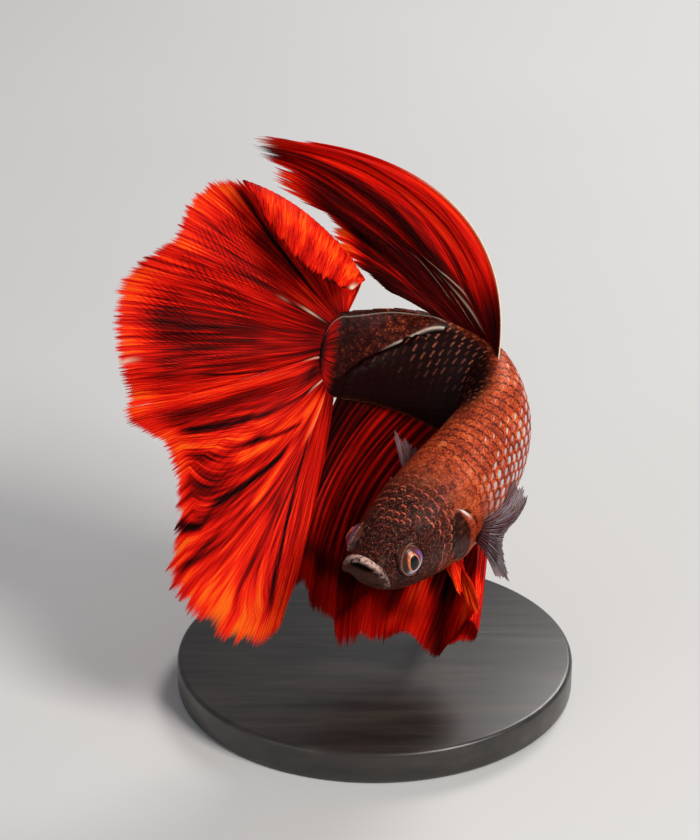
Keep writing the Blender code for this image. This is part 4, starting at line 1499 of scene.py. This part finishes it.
def anal_marks(across, along):
    # upper is the part under the body, painted dark as its shadow, with a darker painted line at
    # the shadow's edge; the streaks are painted shade and light
    upper = 1 - ease(along, 0.48 + 0.25 * across, 0.62 + 0.25 * across)
    swing = 5 * along + 2.5 * wander(6.0, across * 14, along * 2)
    stripes = np.sin(2 * math.pi * across / 0.03 + swing) * 0.16
    heat = 0.57 - upper * (0.22 + 0.3 * ease(across, 0.75, 0.95) - stripes)
    border = hump(along, 0.6 + 0.25 * across, 0.05) * ease(across, 0.3, 0.5)
    heat = heat - 0.3 * border - 0.2 * ease(along, 0.96, 1.0) + streaks(ANAL_STREAKS, across, along)
    return {"tone_and_light": heat, "comb": 0.65 + 0.45 * upper - 0.2 * ease(across, 0.1, 0.3)}


def anal_pieces():
    place = guided(roots_between(*ANAL_ROOTS), ANAL_RAYS)
    for i, word in enumerate(("front", "middle", "rear")):
        fin_piece(
            f"anal_{word}", f"anal_fin_{word}", place, 8, 8, 78, ANAL_SPLITS[i : i + 2], folds=7,
            depth=0.7, notch=0.06, seed=31, marks=anal_marks, fineness=130.0,
        )


def paired_fin_pieces():
    for name, node, rays, start, end, bundles, seed in PAIRED_FINS:
        clear = name.startswith("pectoral")
        tone_and_light = 0.3 if clear else 0.55
        fin_piece(
            name, node, guided(roots_between(start, end), rays), bundles, 4, 44, folds=3,
            depth=0.18, notch=0.08, fringe=0.05, seed=seed, tears=0.1, fineness=20.0, thick=0.035,
            ridge=0.07, spread=0.4, reach=1.03, finish=clear_fins if clear else red_fins,
            marks=lambda across, along: {"tone_and_light": tone_and_light + 0.3 * ease(along, 0.1, 0.8)},
        )


def disc(name, centre, radius, bottom, thick, vertices):
    """An upright round blank, ready to be shaped."""
    bpy.ops.object.select_all(action="DESELECT")
    bpy.ops.mesh.primitive_cylinder_add(
        vertices=vertices, radius=radius, depth=thick, location=(*centre, bottom + thick / 2)
    )
    made = bpy.context.object
    made.name = name
    bpy.ops.object.transform_apply(location=True, rotation=True, scale=True)
    return made


def soften(piece, width, segments, limit):
    """Rounds the piece's edges that are sharper than limit, in degrees."""
    bevel = piece.modifiers.new("soft edges", "BEVEL")
    bevel.width, bevel.segments = width, segments
    bevel.limit_method, bevel.angle_limit = "ANGLE", math.radians(limit)
    bpy.ops.object.modifier_apply(modifier="soft edges")
    bpy.ops.object.shade_smooth_by_angle(angle=math.radians(40))


def stand_pieces():
    """The stand: the turned base, the steel rod and the ferrule round its foot."""
    turned_base()
    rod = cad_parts["stand_rod"].data.materials
    rod.clear()
    rod.append(steel_material())
    low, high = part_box("stand_rod")
    centre = (low[0] + high[0]) / 2, (low[1] + high[1]) / 2
    ring = disc("ferrule", centre, FERRULE_RADIUS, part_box("stand_base")[1][2], FERRULE_HEIGHT, 64)
    soften(ring, FERRULE_BEVEL, 3, 30)
    ring.data.materials.append(steel_material())
    place_piece(ring, ())


def turned_base():
    """The base, turned from one round blank, with a groove in its top and soft edges."""
    low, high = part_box("stand_base")
    centre = (low[0] + high[0]) / 2, (low[1] + high[1]) / 2
    base = disc("plinth", centre, (high[0] - low[0]) / 2, 0.0, high[2] - low[2], 144)
    bpy.ops.object.mode_set(mode="EDIT")
    mesh = bmesh.from_edit_mesh(base.data)
    for face in mesh.faces:
        face.select_set(face.normal.z > 0.9)
    mesh.select_flush_mode()
    bmesh.update_edit_mesh(base.data)
    for inset, rise in PLINTH_STEPS:
        bpy.ops.mesh.inset(thickness=inset)
        bpy.ops.transform.translate(value=(0, 0, rise))
    bpy.ops.object.mode_set(mode="OBJECT")
    soften(base, PLINTH_BEVEL, 4, 50)
    base.data.materials.append(wood_material())
    place_piece(base, ("stand_base",))


def turned_to(spot, target):
    """How a lamp or a camera at this spot is turned to face the target."""
    return (Vector(target) - Vector(spot)).to_track_quat("-Z", "Y").to_euler()


def stage_things():
    """The pale floor, three soft lights and the camera."""
    setup = bpy.context.scene.betta_stage
    bpy.ops.object.select_all(action="DESELECT")
    bpy.ops.mesh.primitive_plane_add(size=6.0, location=(0, 0, 0))
    floor = bpy.context.object
    floor.name = "floor"
    floor.data.materials.append(floor_material())
    floor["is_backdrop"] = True
    lights = (
        ("key light", (0.34, -0.3, 0.42), 0.22, setup.key_light, (1.0, 0.97, 0.93)),
        ("fill light", (-0.45, -0.4, 0.25), 0.4, setup.fill_light, (0.93, 0.96, 1.0)),
        ("rim light", (0.22, 0.42, 0.38), 0.2, setup.rim_light, (1.0, 0.98, 0.96)),
    )
    for name, spot, size, power, tint in lights:
        bpy.ops.object.light_add(type="AREA", location=spot)
        lamp = bpy.context.object
        lamp.name = name
        lamp.rotation_euler = turned_to(spot, LAMP_TARGET)
        lamp.data.size, lamp.data.energy, lamp.data.color = size, power, tint
    bpy.context.scene.view_settings.view_transform = "Standard"
    world = bpy.data.worlds.new("studio")
    bpy.context.scene.world = world
    world.use_nodes = True
    back = world.node_tree.nodes["Background"]
    back.inputs[0].default_value = (0.9, 0.93, 1.0, 1)
    back.inputs[1].default_value = setup.room_light
    bpy.ops.object.camera_add(location=CAMERA_SPOT)
    camera = bpy.context.object
    camera.rotation_euler = turned_to(CAMERA_SPOT, CAMERA_TARGET)
    camera.data.lens, camera.data.sensor_width, camera.data.clip_start = 129.0, 36.0, 0.01
    bpy.context.scene.camera = camera


# ---------------------------------------------------------------- the add-on


def colour(name, description, default):
    return bpy.props.FloatVectorProperty(
        name=name, description=description, default=default,
        subtype="COLOR", size=3, min=0.0, max=1.0,
    )


def light(name, default, unit="POWER"):
    return bpy.props.FloatProperty(
        name=name, description=f"Power of the {name.lower()}", default=default, min=0, subtype=unit
    )


class BettaSizes(bpy.types.PropertyGroup):
    """Sizes of the fish's finish."""

    coat_depth: bpy.props.FloatProperty(
        name="Coat depth", description="How far the scales stand over the skin",
        default=0.00012, min=0.00002, max=0.0005, precision=5, subtype="DISTANCE", unit="LENGTH",
    )


class BettaColours(bpy.types.PropertyGroup):
    """Colours of the fish."""

    skin_deep: colour("Deep", "The darkest grain of the body", (0.05, 0.008, 0.006))
    skin_rust: colour("Rust", "The body's red-brown", (0.28, 0.035, 0.014))
    skin_orange: colour("Orange", "The body's warmer grain", (0.62, 0.075, 0.016))
    skin_gold: colour("Gold", "The body's lightest grain", (0.7, 0.22, 0.08))
    inner_side_shade: colour("Inner side", "The side inside the bend", (0.012, 0.002, 0.002))
    belly: colour("Belly", "The golden-olive belly", (0.2, 0.085, 0.035))
    head_dark: colour("Head, dark", "The head's darkest skin", (0.011, 0.004, 0.0035))
    head_brown: colour("Head, brown", "The head's lighter skin", (0.145, 0.022, 0.012))
    head_line: colour("Head outlines", "The outlines of the head's scales", (0.6, 0.11, 0.06))
    head_speck_highlight: colour("Head flecks", "The head's fine pale flecks", (0.42, 0.2, 0.11))
    inner_scale_highlight: colour("Scale spots", "The pale dashes inside the bend", (0.5, 0.14, 0.07))
    silver: colour("Silver", "The glints at the middle of the outer side", (0.5, 0.6, 0.66))
    cream: colour("Cream", "The glints near the back", (0.95, 0.85, 0.72))
    lip_dark: colour("Lips, dark", "The folds of the lips", (0.035, 0.013, 0.01))
    lip_pale: colour("Lips, pale", "The crests of the lips", (0.8, 0.5, 0.42))
    gill_rim: colour("Gill rim", "The rear edge of the gill covers", (0.62, 0.07, 0.02))
    fin_dark: colour("Fins, dark", "The fins near the body and in folds", (0.05, 0.002, 0.002))
    fin_red: colour("Fins, red", "The fins' main red", (0.62, 0.006, 0.003))
    fin_bright: colour("Fins, bright", "The fins' lit crests", (0.95, 0.022, 0.005))
    fin_orange: colour("Fins, orange", "The fins' edges", (1.0, 0.13, 0.008))
    veil_dark: colour("Side fins, dark", "The side fins' folds", (0.13, 0.035, 0.02))
    veil: colour("Side fins", "The side fins' thin skin", (0.2, 0.13, 0.18))
    veil_pale: colour("Side fins, pale", "The side fins' rays", (0.5, 0.4, 0.52))
    iris_gold: colour("Iris, inside", "Round the pupil", (0.78, 0.24, 0.09))
    iris_copper: colour("Iris, outside", "The iris", (0.3, 0.05, 0.02))
    eye_ball: colour("Eye", "The ball outside the iris", (0.09, 0.02, 0.01))
    lid: colour("Lids", "The rim round the eye", (0.36, 0.17, 0.13))
    jaw: colour("Lower lip", "The lower lip and its fold", (0.04, 0.015, 0.011))


class BettaStage(bpy.types.PropertyGroup):
    """The lights."""

    key_light: light("Key light", 3.0)
    fill_light: light("Fill light", 0.5)
    rim_light: light("Rim light", 1.6)
    room_light: light("Light from all round", 0.22, "NONE")


def operator(name, label, words, action):
    """An operator that runs one action."""

    def execute(self, context):
        action()
        return {"FINISHED"}

    return type(
        f"BETTA_OT_{name}",
        (bpy.types.Operator,),
        {
            "__doc__": words, "bl_idname": f"betta.{name}", "bl_label": label,
            "bl_options": {"REGISTER", "UNDO"}, "execute": execute,
        },
    )


OPERATORS = (
    operator("stage", "Stage", "Adds the floor, the lights and the camera", stage_things),
    operator("skin", "Skin", "Adds the one skin over the body", skin_piece),
    operator("scales", "Scales", "Adds the scales over the skin", scale_pieces),
    operator("eyes", "Eyes", "Adds the two eyeballs", eye_pieces),
    operator("dorsal", "Dorsal fin", "Adds the fin of the back", dorsal_piece),
    operator("tail", "Tail fin", "Adds the tail fin and its folded top", tail_pieces),
    operator("anal", "Anal fin", "Adds the long fin under the body", anal_pieces),
    operator("paired", "Paired fins", "Adds the pectoral and pelvic fins", paired_fin_pieces),
    operator("stand", "Stand", "Finishes the base and the rod", stand_pieces),
)


class BETTA_PT_panel(bpy.types.Panel):
    """Lists the settings and the pieces."""

    bl_label = "Betta"
    bl_idname = "BETTA_PT_panel"
    bl_space_type = "VIEW_3D"
    bl_region_type = "UI"
    bl_category = "Betta"

    def draw(self, context):
        for settings in GROUPS:
            group = getattr(context.scene, settings)
            box = self.layout.box()
            for word in group.__annotations__:
                box.prop(group, word)
        for made in OPERATORS:
            self.layout.operator(made.bl_idname)


GROUPS = {"betta_sizes": BettaSizes, "betta_colours": BettaColours, "betta_stage": BettaStage}
CLASSES = (*GROUPS.values(), *OPERATORS, BETTA_PT_panel)


def register():
    for made in CLASSES:
        bpy.utils.register_class(made)
    for word, group in GROUPS.items():
        setattr(bpy.types.Scene, word, bpy.props.PointerProperty(type=group))


def unregister():
    for word in GROUPS:
        delattr(bpy.types.Scene, word)
    for made in reversed(CLASSES):
        bpy.utils.unregister_class(made)


def main():
    register()
    for made in OPERATORS:
        getattr(bpy.ops.betta, made.bl_idname.split(".")[1])()
    boxes = {"cad": CAD_BOX, "model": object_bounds()}
    plain = {word: [[float(n) for n in corner] for corner in box] for word, box in boxes.items()}


if __name__ == "__main__":
    main()
